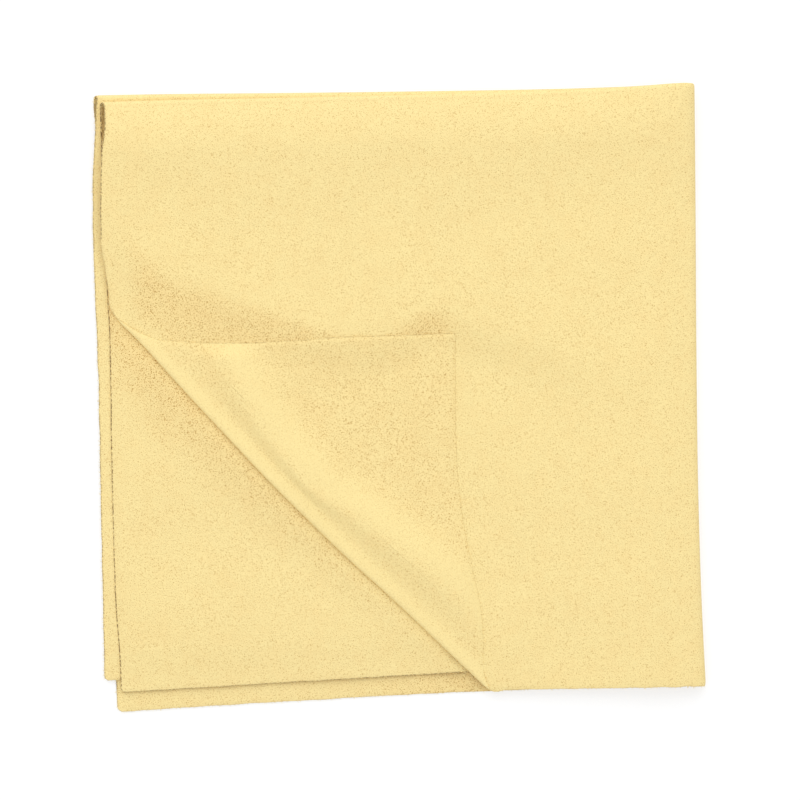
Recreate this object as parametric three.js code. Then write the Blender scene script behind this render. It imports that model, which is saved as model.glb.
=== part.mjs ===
// A square microfibre cloth, folded in half at its top edge and then in half again at its right-hand
// spine, with the free corner of the top layer turned back in a soft roll.
// +X points to the spine, +Y to the folded top edge and +Z up from the table.
// The origin is the middle of the folded square, on its underside.
// Sizes are in millimetres and angles in degrees.
import * as THREE from 'three';

// The sheet as it was cut, and the air between layers and at creases
const CLOTH_SIDE = 400;
const CLOTH_THICKNESS = 0.7;
const LAYER_GAP = 0.3;
const CREASE_GAP = 0.3;

// The loops at the folds, measured at the middle of the cloth's thickness
const TOP_LOOP_RADIUS = 1.3;
const SPINE_LOOP_RADIUS = 1.5;
const FOLD_REACH = 45;
const FRONT_FOLD_DROP = 2.5;

// The soft swell of the top layer below its fold, which ends along a line that falls away from the left edge
const SWELL_HEIGHT = 2.8;
const SWELL_ROUNDING = 12;
const SWELL_RISE = 19;
const SWELL_FADE = 75;
const SWELL_FOOT = { atLeft: 60, inside: 11, reach: 22 };

// How far the cut edges of each layer lie inside the folded square; below zero they stick out
const BOTTOM_EDGES = { leftAtFold: -0.4, leftAtCorner: 3.4, lowerAtCorner: -6.2, lowerAtSpine: -1.0 };
const THIRD_EDGES = { leftAtFold: -0.6, leftAtCorner: -0.7, lowerAtCorner: 4.6, lowerAtSpine: 8.3 };
const SECOND_EDGES = { leftAtFold: 1.8, leftAtCorner: 4.7, lowerAtCorner: 0.4, lowerAtSpine: 8.3 };
const TOP_EDGES = {
  leftAtFold: 3.2,
  leftAtTurn: 3.0,
  leftAtCorner: 6.7,
  lowerAtCorner: 2.8,
  lowerAtSpine: -1.0,
};

// The turned corner: where its bend starts on the two cut edges, measured from the cloth's free corner
const TURN_UP_LEFT_EDGE = 136.7;
const TURN_ALONG_LOWER_EDGE = 125.8;

// The roll narrows from the left edge to the lower one, and its own weight makes it lower than it is round
const ROLL_RADIUS_AT_LEFT = 9.2;
const ROLL_RADIUS_AT_LOWER = 2.7;
const ROLL_FLATNESS = 0.52;
const CREASE_TURN = 62;

// Past the roll the flap falls to just above the top layer, and rises a little from there to its tip
const FALL_SLOPE = 45;
const TOUCH_GAP = 1;
const TIP_SLOPE = 4.5;
const TIP_WIDTH = 2.4;

// How finely the curved cloth is divided
const PANEL_STEPS = 12;
const SWELL_STEPS = 9;
const FOLD_STEPS = 12;
const LOOP_STEPS = 6;
const ROLL_LOOP_STEPS = 5;

const CLOTH_COLOR = 0xf8e09d;

const { clamp, lerp, degToRad, smoothstep } = THREE.MathUtils;
const QUARTER_TURN = Math.PI / 2;

// Places and spacings that follow from the sizes above
const halfSide = CLOTH_SIDE / 4;
const halfThickness = CLOTH_THICKNESS / 2;
const layerSpacing = CLOTH_THICKNESS + LAYER_GAP;
const foldStartY = halfSide - halfThickness - TOP_LOOP_RADIUS;
const panelTopY = foldStartY - CREASE_GAP;

// 1 beside a fold, easing to 0 where the layers lie flat on each other
const closeness = (distance) => smoothstep(1 - distance / FOLD_REACH, 0, 1);

// Each half of the folded cloth is a pair of layers that meet in a top loop
const pairGap = (y, drop = 0) =>
  lerp(layerSpacing, 2 * TOP_LOOP_RADIUS, closeness(foldStartY - drop - y));

// The line where both spine loops leave the flat layers
const spineStartX = (y) => halfSide - halfThickness - SPINE_LOOP_RADIUS - pairGap(y);

const halvesGap = (x, y) =>
  lerp(layerSpacing, 2 * SPINE_LOOP_RADIUS, closeness(spineStartX(y) - x));

// The front pair was laid a little short of the back pair, most of all at its free end
const frontDrop = (share) => FRONT_FOLD_DROP * Math.sqrt(share);

// How far the top layer swells, 0 at its folds
function topSwell(x, y, drop) {
  const footFall = Math.exp(-(x + halfSide) / SWELL_FOOT.reach);
  const foot = lerp(SWELL_FOOT.inside, SWELL_FOOT.atLeft, footFall);
  const toFold = clamp((foldStartY - drop - y) / SWELL_ROUNDING, 0, 1);
  const rounding = 1 - (1 - toFold) ** 2;
  const fade = smoothstep(spineStartX(y) - x, 0, SWELL_FADE);
  return SWELL_HEIGHT * rounding * fade * smoothstep(y, foot, foot + SWELL_RISE);
}

// Heights of the middle of each layer above the table
const bottomHeight = () => halfThickness;
const thirdHeight = (x, y) => bottomHeight() + pairGap(y);
const secondHeight = (x, y) => thirdHeight(x, y) + halvesGap(x, y);
const topHeight = (x, y, drop) => secondHeight(x, y) + pairGap(y, drop) + topSwell(x, y, drop);

const leftEdge = (inset) => inset - halfSide;
const lowerEdge = (inset) => inset - halfSide;

// The line about which the folded cloth opens, between the second and third layers at the spine
const thirdTopAtSpine = 2 * TOP_LOOP_RADIUS + CLOTH_THICKNESS;
const secondUndersideAtSpine = layerSpacing + 2 * SPINE_LOOP_RADIUS;
const hingeHeight = (thirdTopAtSpine + secondUndersideAtSpine) / 2;

// A closed piece of cloth about a middle surface: point(a, b) with a and b from 0 to 1
function clothSolid(point, columns, rows) {
  const nudge = 1e-4;
  const inner = [];
  const outer = [];
  for (const b of rows) {
    for (const a of columns) {
      const alongA = point(Math.min(a + nudge, 1), b).sub(point(Math.max(a - nudge, 0), b));
      const alongB = point(a, Math.min(b + nudge, 1)).sub(point(a, Math.max(b - nudge, 0)));
      const offset = alongA.cross(alongB).setLength(halfThickness);
      const middle = point(a, b);
      inner.push(middle.clone().sub(offset));
      outer.push(middle.clone().add(offset));
    }
  }
  const points = [...inner, ...outer];
  const width = columns.length;
  const last = rows.length - 1;
  const lift = inner.length;
  const at = (column, row) => row * width + column;
  const faces = [];
  const addQuad = (p, q, r, s) => faces.push(p, q, r, p, r, s);
  for (let row = 0; row < last; row += 1) {
    for (let column = 0; column < width - 1; column += 1) {
      const corners = [at(column, row), at(column + 1, row), at(column + 1, row + 1), at(column, row + 1)];
      addQuad(...corners.map((corner) => corner + lift));
      addQuad(...corners.toReversed());
    }
  }
  const addWall = (from, to) => addQuad(from, to, to + lift, from + lift);
  for (let column = 0; column < width - 1; column += 1) {
    addWall(at(column, 0), at(column + 1, 0));
    addWall(at(column + 1, last), at(column, last));
  }
  for (let row = 0; row < last; row += 1) {
    addWall(at(width - 1, row), at(width - 1, row + 1));
    addWall(at(0, row + 1), at(0, row));
  }
  const geometry = new THREE.BufferGeometry();
  geometry.setAttribute('position', new THREE.Float32BufferAttribute(points.flatMap((p) => p.toArray()), 3));
  geometry.setIndex(faces);
  return geometry;
}

// Even parameter values from one end to the other
function even(steps, from = 0, to = 1) {
  return Array.from({ length: steps + 1 }, (_, index) => lerp(from, to, index / steps));
}

// A flat-lying layer between its two folds and its two cut edges; the lower edge bows by the given power
function quarterPanel(edges, height, drop, bow) {
  return (a, b) => {
    const lower = lerp(lowerEdge(edges.lowerAtSpine), lowerEdge(edges.lowerAtCorner), a ** bow);
    const y = lerp(panelTopY - drop(a), lower, b);
    const left = leftEdge(lerp(edges.leftAtFold, edges.leftAtCorner, b));
    const x = lerp(spineStartX(y) - CREASE_GAP, left, a);
    return new THREE.Vector3(x, y, height(x, y, drop(a)));
  };
}

// The loop along the top edge that joins the two layers of a half
function topLoop(lowerEdges, upperEdges, lowerLayer, upperLayer, drop) {
  const start = spineStartX(foldStartY) - CREASE_GAP;
  return (a, b) => {
    const turn = lerp(-QUARTER_TURN, QUARTER_TURN, b);
    const left = leftEdge(lerp(lowerEdges.leftAtFold, upperEdges.leftAtFold, b));
    const x = lerp(start, left, a);
    const y = foldStartY - drop(a);
    const middle = (lowerLayer(x, y, drop(a)) + upperLayer(x, y, drop(a))) / 2;
    return new THREE.Vector3(
      x,
      y + TOP_LOOP_RADIUS * Math.cos(turn),
      middle + TOP_LOOP_RADIUS * Math.sin(turn),
    );
  };
}

// A quarter or so of the way round a spine loop, on one side of the opening line
function spineAngle(radius, middle, isUpper, b) {
  const split = Math.asin((hingeHeight - middle) / radius);
  const clearance = CREASE_GAP / 2 / radius;
  return isUpper ? lerp(split + clearance, QUARTER_TURN, b) : lerp(-QUARTER_TURN, split - clearance, b);
}

// A spine loop below the top folds; the outer one goes round the pair of layers inside it
function spineLoop(isOuter, lowerInset, isUpper) {
  return (a, b) => {
    const y = lerp(panelTopY, lowerEdge(lowerInset), a);
    const radius = SPINE_LOOP_RADIUS + (isOuter ? pairGap(y) : 0);
    const middle = thirdHeight(0, y) + SPINE_LOOP_RADIUS;
    const turn = spineAngle(radius, middle, isUpper, b);
    return new THREE.Vector3(
      spineStartX(y) + radius * Math.cos(turn),
      y,
      middle + radius * Math.sin(turn),
    );
  };
}

// The top loop carried round the spine, where all four folds meet
function cornerLoop(isUpper) {
  const middle = thirdHeight(0, foldStartY) + SPINE_LOOP_RADIUS;
  return (a, b) => {
    const loopTurn = lerp(-QUARTER_TURN, QUARTER_TURN, a);
    const radius = SPINE_LOOP_RADIUS + TOP_LOOP_RADIUS * (1 + Math.sin(loopTurn));
    const turn = spineAngle(radius, middle, isUpper, b);
    return new THREE.Vector3(
      spineStartX(foldStartY) + radius * Math.cos(turn),
      foldStartY + TOP_LOOP_RADIUS * Math.cos(loopTurn),
      middle + radius * Math.sin(turn),
    );
  };
}

// The turned corner, laid out flat: the free corner and the two points on the cut edges where it lifts
const freeCorner = new THREE.Vector2(leftEdge(TOP_EDGES.leftAtCorner), lowerEdge(TOP_EDGES.lowerAtCorner));
const turnLeft = new THREE.Vector2(leftEdge(TOP_EDGES.leftAtTurn), freeCorner.y + TURN_UP_LEFT_EDGE);
const turnLower = new THREE.Vector2(freeCorner.x + TURN_ALONG_LOWER_EDGE, lowerEdge(TOP_EDGES.lowerAtSpine));
const turnSpan = turnLeft.distanceTo(turnLower);
const along = turnLower.clone().sub(turnLeft).normalize();
const inward = new THREE.Vector2(-along.y, along.x);
const rollLow = topHeight(turnLeft.x, turnLeft.y, 0);

// The roll is part of a cone, whose apex lies on the lift line beyond the lower edge
const narrowing = (ROLL_RADIUS_AT_LEFT - ROLL_RADIUS_AT_LOWER) / turnSpan;
const apex = turnLower.clone().addScaledVector(along, ROLL_RADIUS_AT_LOWER / narrowing);
const middleDistance = apex.distanceTo(turnLeft) - turnSpan / 2;
const middleRadius = middleDistance * narrowing;
const apexToCorner = freeCorner.clone().sub(apex);
const cornerReach = middleDistance * Math.atan2(-apexToCorner.dot(inward), -apexToCorner.dot(along));

// The flap bends back from the slope of its fall to that of its tip
const fallSlope = degToRad(FALL_SLOPE);
const tipSlope = degToRad(TIP_SLOPE);
const rollTurn = Math.PI + fallSlope;
const rollLength = middleRadius * rollTurn;
const touchHeight = (CLOTH_THICKNESS + TOUCH_GAP) / ROLL_FLATNESS;
const fallHeight = middleRadius * (1 + Math.cos(fallSlope)) - touchHeight;
const fallBend = (1 - Math.cos(fallSlope)) / fallHeight;
const fallLength = (fallSlope + tipSlope) / fallBend;

// Halfway along a round roll: how far a point lies inward of the lift line and above it, by length of cloth
function turnProfile(length) {
  const turn = Math.min(length / middleRadius, rollTurn);
  const slope = fallSlope - fallBend * clamp(length - rollLength, 0, fallLength);
  const rest = Math.max(length - rollLength - fallLength, 0);
  const fallInward = (Math.sin(fallSlope) - Math.sin(slope)) / fallBend;
  const fallDrop = (Math.cos(slope) - Math.cos(fallSlope)) / fallBend;
  return {
    inward: fallInward - middleRadius * Math.sin(turn) + rest * Math.cos(tipSlope),
    height: middleRadius * (1 - Math.cos(turn)) - fallDrop + rest * Math.sin(tipSlope),
  };
}

// On the flat cloth, the distance from the apex to a cut edge in the direction that a length of cloth gives
function distanceToEdge(edgeStart, length) {
  const angle = length / middleDistance;
  const ray = along.clone().multiplyScalar(-Math.cos(angle)).addScaledVector(inward, -Math.sin(angle));
  const edge = freeCorner.clone().sub(edgeStart);
  return edgeStart.clone().sub(apex).cross(edge) / ray.cross(edge);
}

// A stretch of the turned corner between two lengths of cloth, from its left cut edge to its lower one
function turnedStretch(from, to) {
  return (a, b) => {
    const length = lerp(from, to, b);
    const distance = lerp(distanceToEdge(turnLeft, length), distanceToEdge(turnLower, length), a);
    const share = distance / middleDistance;
    const profile = turnProfile(length);
    const back = Math.sqrt(middleDistance ** 2 - profile.inward ** 2 - profile.height ** 2);
    const place = apex.clone().addScaledVector(along, -share * back);
    place.addScaledVector(inward, share * profile.inward);
    return new THREE.Vector3(place.x, place.y, rollLow + share * ROLL_FLATNESS * profile.height);
  };
}

// The top layer stops where its corner lifts, so its rows break at the start of that line
const topBreak = (panelTopY - frontDrop(1) - turnLeft.y) / (panelTopY - frontDrop(1) - turnLower.y);

function topPanel(a, b) {
  const isAbove = b < topBreak;
  const drop = frontDrop(a);
  const lift = CREASE_GAP / inward.x;
  const left = isAbove
    ? lerp(leftEdge(TOP_EDGES.leftAtFold), turnLeft.x + lift, b / topBreak)
    : lerp(turnLeft.x, turnLower.x, (b - topBreak) / (1 - topBreak)) + lift;
  const y = isAbove
    ? lerp(panelTopY - drop, turnLeft.y, b / topBreak)
    : lerp(turnLeft.y, turnLower.y, (b - topBreak) / (1 - topBreak));
  const x = lerp(spineStartX(y) - CREASE_GAP, left, a);
  return new THREE.Vector3(x, y, topHeight(x, y, drop));
}

// The roll parts at three creases, so that it can be laid flat again; their gaps hold where it stands steep
const creaseLength = middleRadius * degToRad(CREASE_TURN);
const creases = [0.5, 1.5, 2.5].map((turns) => turns * creaseLength);
const creaseSide = CREASE_GAP / 2 / ROLL_FLATNESS;

const cloth = new THREE.Group();

function addCloth(name, point, columns, rows) {
  const material = new THREE.MeshStandardMaterial({ color: CLOTH_COLOR, roughness: 0.95, metalness: 0 });
  const mesh = new THREE.Mesh(clothSolid(point, columns, rows), material);
  mesh.name = name;
  cloth.add(mesh);
}

const noDrop = () => 0;
const panelGrid = even(PANEL_STEPS);
const foldGrid = even(FOLD_STEPS);
const loopGrid = even(LOOP_STEPS);
const rollGrid = even(ROLL_LOOP_STEPS);

addCloth('bottom_quarter', quarterPanel(BOTTOM_EDGES, bottomHeight, noDrop, 2), panelGrid, even(1));
addCloth('third_quarter', quarterPanel(THIRD_EDGES, thirdHeight, noDrop, 1), panelGrid, panelGrid);
addCloth('second_quarter', quarterPanel(SECOND_EDGES, secondHeight, frontDrop, 1), panelGrid, panelGrid);
const topRows = [...even(SWELL_STEPS, 0, topBreak), ...even(PANEL_STEPS / 2, topBreak, 1).slice(1)];
addCloth('top_quarter', topPanel, panelGrid, topRows);

addCloth(
  'back_top_fold',
  topLoop(BOTTOM_EDGES, THIRD_EDGES, bottomHeight, thirdHeight, noDrop),
  foldGrid,
  loopGrid,
);
addCloth(
  'front_top_fold',
  topLoop(SECOND_EDGES, TOP_EDGES, secondHeight, topHeight, frontDrop),
  foldGrid,
  loopGrid,
);

for (const isUpper of [false, true]) {
  const side = isUpper ? 'upper' : 'lower';
  addCloth(`outer_spine_${side}`, spineLoop(true, TOP_EDGES.lowerAtSpine, isUpper), foldGrid, loopGrid);
  addCloth(`inner_spine_${side}`, spineLoop(false, SECOND_EDGES.lowerAtSpine, isUpper), foldGrid, loopGrid);
  addCloth(`corner_fold_${side}`, cornerLoop(isUpper), loopGrid, loopGrid);
}

addCloth('roll_foot', turnedStretch(0, creases[0] - creaseSide), foldGrid, rollGrid);
addCloth('roll_face', turnedStretch(creases[0] + creaseSide, creases[1] - creaseSide), foldGrid, rollGrid);
addCloth('roll_crest', turnedStretch(creases[1] + creaseSide, creases[2] - creaseSide), foldGrid, rollGrid);
const tipLength = cornerReach * (1 - TIP_WIDTH / turnSpan);
addCloth('turned_corner', turnedStretch(creases[2] + creaseSide, tipLength), foldGrid, panelGrid);

export default cloth;
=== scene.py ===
"""A folded microfibre cloth: its soft sheet, finish, light and camera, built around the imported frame."""

import logging
import math
from dataclasses import dataclass, field
from enum import Enum
from typing import Any, Sequence

import bpy
import numpy as np
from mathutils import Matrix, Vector


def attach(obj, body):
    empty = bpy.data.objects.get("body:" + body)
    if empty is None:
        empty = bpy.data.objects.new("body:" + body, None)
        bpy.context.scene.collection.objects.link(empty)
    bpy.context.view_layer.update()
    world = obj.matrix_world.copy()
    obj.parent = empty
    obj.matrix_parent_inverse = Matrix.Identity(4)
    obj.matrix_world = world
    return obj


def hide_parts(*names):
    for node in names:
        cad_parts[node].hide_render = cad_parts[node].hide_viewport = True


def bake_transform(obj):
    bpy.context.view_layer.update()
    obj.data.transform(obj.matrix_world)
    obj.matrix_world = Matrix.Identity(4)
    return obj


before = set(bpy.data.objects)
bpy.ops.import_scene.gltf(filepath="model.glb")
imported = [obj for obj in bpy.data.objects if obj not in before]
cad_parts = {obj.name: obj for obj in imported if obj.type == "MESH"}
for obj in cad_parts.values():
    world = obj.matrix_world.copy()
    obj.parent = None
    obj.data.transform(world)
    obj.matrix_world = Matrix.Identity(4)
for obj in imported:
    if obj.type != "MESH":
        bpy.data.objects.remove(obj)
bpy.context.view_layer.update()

Array = np.ndarray
Span = tuple[float, float]
Knots = Sequence[Span]
Piece = bpy.types.Object
Material = bpy.types.Material
Tree = bpy.types.NodeTree
Node = bpy.types.Node
Socket = bpy.types.NodeSocket
Inputs = dict[str | int, Any]

MILLIMETRE = 0.001
FAR_AWAY = 1e3
WHITE = (1.0, 1.0, 1.0, 1.0)
REST_PLACE = "cloth_mm"
# Point attribute of painted shade along cut edges, standing in for the shadow in the gap beneath an edge.
EDGE_SHADE = "painted_edge_shade"
# Point attribute of painted shade, and below 0 of painted highlight, on the cloth.
PAINTED_SHADE = "painted_shade"
OUTWARD = "outward"

log = logging.getLogger("cloth")


# Shape rules shared by every stretch of cloth. All lengths here are millimetres.


def smooth(value: Array | float) -> Array:
    """Returns the value clipped to 0..1 with a soft start and end."""
    clipped = np.clip(value, 0.0, 1.0)
    return clipped * clipped * (3.0 - 2.0 * clipped)


def mix(first: Array | float, second: Array | float, share: Array | float) -> Array:
    """Returns the point that lies the given share of the way from first to second."""
    return first + (second - first) * share


def ramp(value: Array | float, zero: float, one: float) -> Array:
    """Returns 0 up to the first place and 1 beyond the second, easing between them."""
    return smooth((value - zero) / (one - zero))


def ripple(x: Array, y: Array, length: float, seed: int) -> Array:
    """Sums plane waves of many directions into a soft, even unevenness.

    Args:
        x: Places along the first direction.
        y: Places along the second direction.
        length: Typical length of a wave.
        seed: Fixes the directions and phases.

    Returns:
        Heights with a mean of 0 and a spread of 1.
    """
    waves = 14
    source = np.random.default_rng(seed)
    heading = source.uniform(0.0, 2.0 * math.pi, waves)
    phase = source.uniform(0.0, 2.0 * math.pi, waves)
    pitch = 2.0 * math.pi * source.uniform(0.7, 1.4, waves) / length
    total = np.zeros(np.broadcast(x, y).shape)
    for angle, start, rate in zip(heading, phase, pitch):
        total = total + np.sin((x * math.cos(angle) + y * math.sin(angle)) * rate + start)
    return total / math.sqrt(waves / 2.0)


def through(knots: Knots, at: Array | float) -> Array:
    """Reads a smooth curve that passes through knots and stays level outside them.

    Args:
        knots: Pairs of place and value.
        at: Places to read.

    Returns:
        The value at each place.
    """
    place, value = np.array(sorted(knots), dtype=float).T
    slope = np.gradient(value, place)
    index = np.clip(np.searchsorted(place, at) - 1, 0, len(place) - 2)
    span = place[index + 1] - place[index]
    part = np.clip((at - place[index]) / span, 0.0, 1.0)
    square, cube = part**2, part**3
    return (
        value[index] * (2 * cube - 3 * square + 1)
        + slope[index] * span * (cube - 2 * square + part)
        + value[index + 1] * (3 * square - 2 * cube)
        + slope[index + 1] * span * (cube - square)
    )


def stations(length: float, step: float, fine_start: bool = True, fine_end: bool = True) -> Array:
    """Spaces rows or columns over a length, closer together at its ends.

    Args:
        length: Length to cover.
        step: Spacing away from the ends.
        fine_start: Whether rows crowd towards the start.
        fine_end: Whether rows crowd towards the end.

    Returns:
        Shares of the length, from 0 to 1.
    """
    crowd = np.array([0.0, 0.12, 0.4, 0.9, 1.6])
    head = crowd if fine_start else np.zeros(1)
    tail = length - (crowd if fine_end else np.zeros(1))[::-1]
    count = max(2, round((tail[0] - head[-1]) / step))
    middle = np.linspace(head[-1], tail[0], count + 1)[1:-1]
    return np.concatenate([head, middle, tail]) / length


def unit(vector: Array) -> Array:
    """Returns vectors scaled to a length of 1."""
    return vector / np.maximum(np.linalg.norm(vector, axis=-1, keepdims=True), 1e-12)


def add_object(name: str, data: bpy.types.ID) -> Piece:
    """Adds an object to the scene, at the origin.

    Args:
        name: Name of the object.
        data: What it holds.

    Returns:
        The object.
    """
    made = bpy.data.objects.new(name, data)
    bpy.context.scene.collection.objects.link(made)
    return made


@dataclass
class ClothGrid:
    """A stretch of cloth, given by rows and columns of points on its middle surface.

    Attributes:
        name: Name of the piece.
        points: Points in millimetres, by row, column and axis.
        seams: Marks the points where the sheet runs on into another piece.
        thickness: Thickness of the cloth.
        painted_shade: Painted shade at each point, drawn as deeper and warmer pits; below 0, painted
            highlight, drawn as paler pits.
        depth: Painted shade along a cut edge at each point, from 0 to 1, for the shadow in the gap beneath
            it.
        rim: How far the frayed middle of a cut edge stands out.
        thin: Share of the thickness that is left at a cut edge.
        thin_reach: How far from a cut edge the cloth thins.
        edge_shade_reach: How far from a cut edge its painted shade shows.
    """

    name: str
    points: Array
    seams: Array
    thickness: float
    painted_shade: Array
    depth: Array
    rim: float = 0.16
    thin: float = 0.5
    thin_reach: float = 1.5
    edge_shade_reach: float = 0.4

    def tangents(self) -> tuple[Array, Array]:
        """Returns the unit directions along the rows' and the columns' order."""
        return unit(np.gradient(self.points, axis=0)), unit(np.gradient(self.points, axis=1))

    def normals(self) -> Array:
        """Returns the unit direction square to the cloth at each point."""
        down, across = self.tangents()
        return unit(np.cross(across, down))

    def from_cut(self) -> Array:
        """Works out how far each point lies from the nearest cut edge, along rows and columns.

        Returns:
            Distances by row and column.
        """
        far = np.full(self.points.shape[:2], FAR_AWAY)
        for axis in (0, 1):
            points = np.moveaxis(self.points, axis, 0)
            seams = np.moveaxis(self.seams, axis, 0)
            step = np.linalg.norm(np.diff(points, axis=0), axis=-1)
            run = np.concatenate([np.zeros((1, step.shape[1])), np.cumsum(step, axis=0)])
            head = np.where(seams[0], FAR_AWAY, run)
            tail = np.where(seams[-1], FAR_AWAY, run[-1] - run)
            far = np.minimum(far, np.moveaxis(np.minimum(head, tail), 0, axis))
        return far

    def half_depth(self) -> Array:
        """Returns the way from the middle of the cloth to its upper face at each point."""
        share = mix(self.thin, 1.0, smooth(self.from_cut() / self.thin_reach))
        return self.normals() * share[..., None] * self.thickness / 2.0

    def faces_of(self, row: int) -> Array:
        """Returns both faces' points of one row, for working out where a bend starts or ends."""
        half = self.half_depth()[row]
        return np.concatenate([self.points[row] + half, self.points[row] - half])

    def loop(self) -> Array:
        """Goes round the border.

        Returns:
            The point numbers along it, once each.
        """
        rows, columns = self.points.shape[:2]
        number = np.arange(rows * columns).reshape(rows, columns)
        return np.concatenate([number[0, :-1], number[:-1, -1], number[-1, :0:-1], number[:0:-1, 0]])

    def outward(self) -> Array:
        """Works out which way each border point faces, away from the cloth.

        Returns:
            A unit direction for each point of the border loop, or zero on a seam.
        """
        down, across = self.tangents()
        pull = np.zeros_like(self.points)
        cut = ~self.seams[..., None]
        pull[0] -= down[0] * cut[0]
        pull[-1] += down[-1] * cut[-1]
        pull[:, 0] -= across[:, 0] * cut[:, 0]
        pull[:, -1] += across[:, -1] * cut[:, -1]
        return unit(pull.reshape(-1, 3)[self.loop()])

    def build(self) -> Piece:
        """Gives the stretch its two faces and its edges as one closed mesh.

        Returns:
            The new object, at the origin.
        """
        rows, columns = self.points.shape[:2]
        count = rows * columns
        half, loop = self.half_depth(), self.loop()
        upper, lower = (self.points + half).reshape(-1, 3), (self.points - half).reshape(-1, 3)
        edge = self.points.reshape(-1, 3)[loop] + self.outward() * self.rim
        places = np.concatenate([upper, lower, edge])

        number = np.arange(count).reshape(rows, columns)
        corners = [number[:-1, :-1], number[:-1, 1:], number[1:, 1:], number[1:, :-1]]
        top = np.stack(corners, axis=-1).reshape(-1, 4)
        here = np.arange(len(loop))
        ahead = np.roll(here, -1)
        first, second = loop[here], loop[ahead]
        first_edge, second_edge = here + 2 * count, ahead + 2 * count
        wall_above = np.stack([second, first, first_edge, second_edge], axis=-1)
        wall_below = np.stack([second_edge, first_edge, first + count, second + count], axis=-1)
        faces = np.concatenate([top, top[:, ::-1] + count, wall_above, wall_below])

        mesh = bpy.data.meshes.new(self.name)
        mesh.from_pydata((places * MILLIMETRE).tolist(), [], faces.tolist())
        mesh.polygons.foreach_set("use_smooth", np.ones(len(faces), dtype=bool))
        marked = self.seams.reshape(-1)
        on_seam = marked[first] & marked[second]
        self.part_shading(mesh, np.concatenate([wall_above[on_seam], wall_below[on_seam]]))
        place = mesh.attributes.new(REST_PLACE, "FLOAT_VECTOR", "POINT")
        place.data.foreach_set("vector", places.astype(np.float32).ravel())
        # Painted shade along cut edges, fading within a short reach of the cut.
        edge_shade = (self.depth * smooth(1.0 - self.from_cut() / self.edge_shade_reach)).ravel()
        # Painted shade and painted highlight go to the material as a point attribute.
        painted_shade = self.painted_shade.ravel()
        for label, face, border in ((EDGE_SHADE, edge_shade, edge_shade[loop]), (PAINTED_SHADE, painted_shade, painted_shade[loop])):
            values = np.concatenate([face, face, border]).astype(np.float32)
            mesh.attributes.new(label, "FLOAT", "POINT").data.foreach_set("value", values)
        mesh.update()
        return add_object(self.name, mesh)

    def part_shading(self, mesh: bpy.types.Mesh, walls: Array) -> None:
        """Keeps the hidden walls at seams from bending the light on the cloth beside them.

        Args:
            mesh: Mesh of the stretch.
            walls: Corner numbers of the walls' faces.
        """
        pairs = np.concatenate([walls[:, [corner, (corner + 1) % 4]] for corner in range(4)])
        total = len(mesh.vertices)
        keys = np.sort(pairs, axis=1) @ np.array([total, 1])
        ends = np.empty(2 * len(mesh.edges), dtype=np.int64)
        mesh.edges.foreach_get("vertices", ends)
        found = np.sort(ends.reshape(-1, 2), axis=1) @ np.array([total, 1])
        mesh.edges.foreach_set("use_edge_sharp", np.isin(found, keys))

    def fringe_roots(self, spacing: float, seed: int) -> tuple[Array, Array]:
        """Spreads points along the cut edges, for the loose fibres there.

        Args:
            spacing: Mean distance between fibres.
            seed: Fixes the unevenness.

        Returns:
            The points in millimetres, and the way each one faces.
        """
        loop = self.loop()
        facing = self.outward()
        border = self.points.reshape(-1, 3)[loop] + facing * self.rim * 0.5
        cut = ~self.seams.reshape(-1)[loop]
        both = cut & np.roll(cut, -1)
        step = np.linalg.norm(np.roll(border, -1, axis=0) - border, axis=1) * both
        run = np.concatenate([[0.0], np.cumsum(step)])
        source = np.random.default_rng(seed)
        count = int(run[-1] / spacing)
        at = np.sort(source.uniform(0.0, run[-1], count))
        index = np.clip(np.searchsorted(run, at, side="right") - 1, 0, len(step) - 1)
        share = ((at - run[index]) / np.maximum(step[index], 1e-9))[:, None]
        ahead = (index + 1) % len(loop)
        return mix(border[index], border[ahead], share), unit(mix(facing[index], facing[ahead], share))


# The folded cloth


class Layer(Enum):
    """The four layers of the folded square, from the table up."""

    BOTTOM = 0
    THIRD = 1
    SECOND = 2
    TOP = 3


@dataclass(frozen=True)
class Waviness:
    """How unevenly a layer lies on the one below, in millimetres.

    Attributes:
        mean: Mean distance beyond the plain gap.
        spread: How far it strays from that.
        length: Typical length of a wave.
        seed: Fixes the waves.
    """

    mean: float
    spread: float
    length: float
    seed: int

    def at(self, x: Array, y: Array) -> Array:
        """Returns the extra distance at each point."""
        return self.mean + self.spread * ripple(x, y, self.length, self.seed)


WAVES: dict[Layer, Waviness] = {
    Layer.THIRD: Waviness(0.10, 0.07, 46.0, 31),
    Layer.SECOND: Waviness(0.14, 0.09, 52.0, 47),
    Layer.TOP: Waviness(0.12, 0.08, 38.0, 59),
}


@dataclass(frozen=True)
class Lip:
    """Outer edge of a layer, turned up beside the open end of its top fold, in millimetres.

    Attributes:
        height: How far it is turned up.
        across: Places across the page where it starts and is full.
        up: Heights on the page where it starts and is full.
    """

    height: float
    across: Span
    up: Span

    def at(self, x: Array, y: Array) -> Array:
        """Returns the extra height at each point."""
        return self.height * ramp(x, *self.across) * ramp(y, *self.up)


LIPS: dict[Layer, Lip] = {
    Layer.BOTTOM: Lip(1.5, (-99.6, -100.2), (89.0, 95.0)),
    Layer.SECOND: Lip(1.7, (-97.3, -98.0), (81.0, 90.0)),
}


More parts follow.
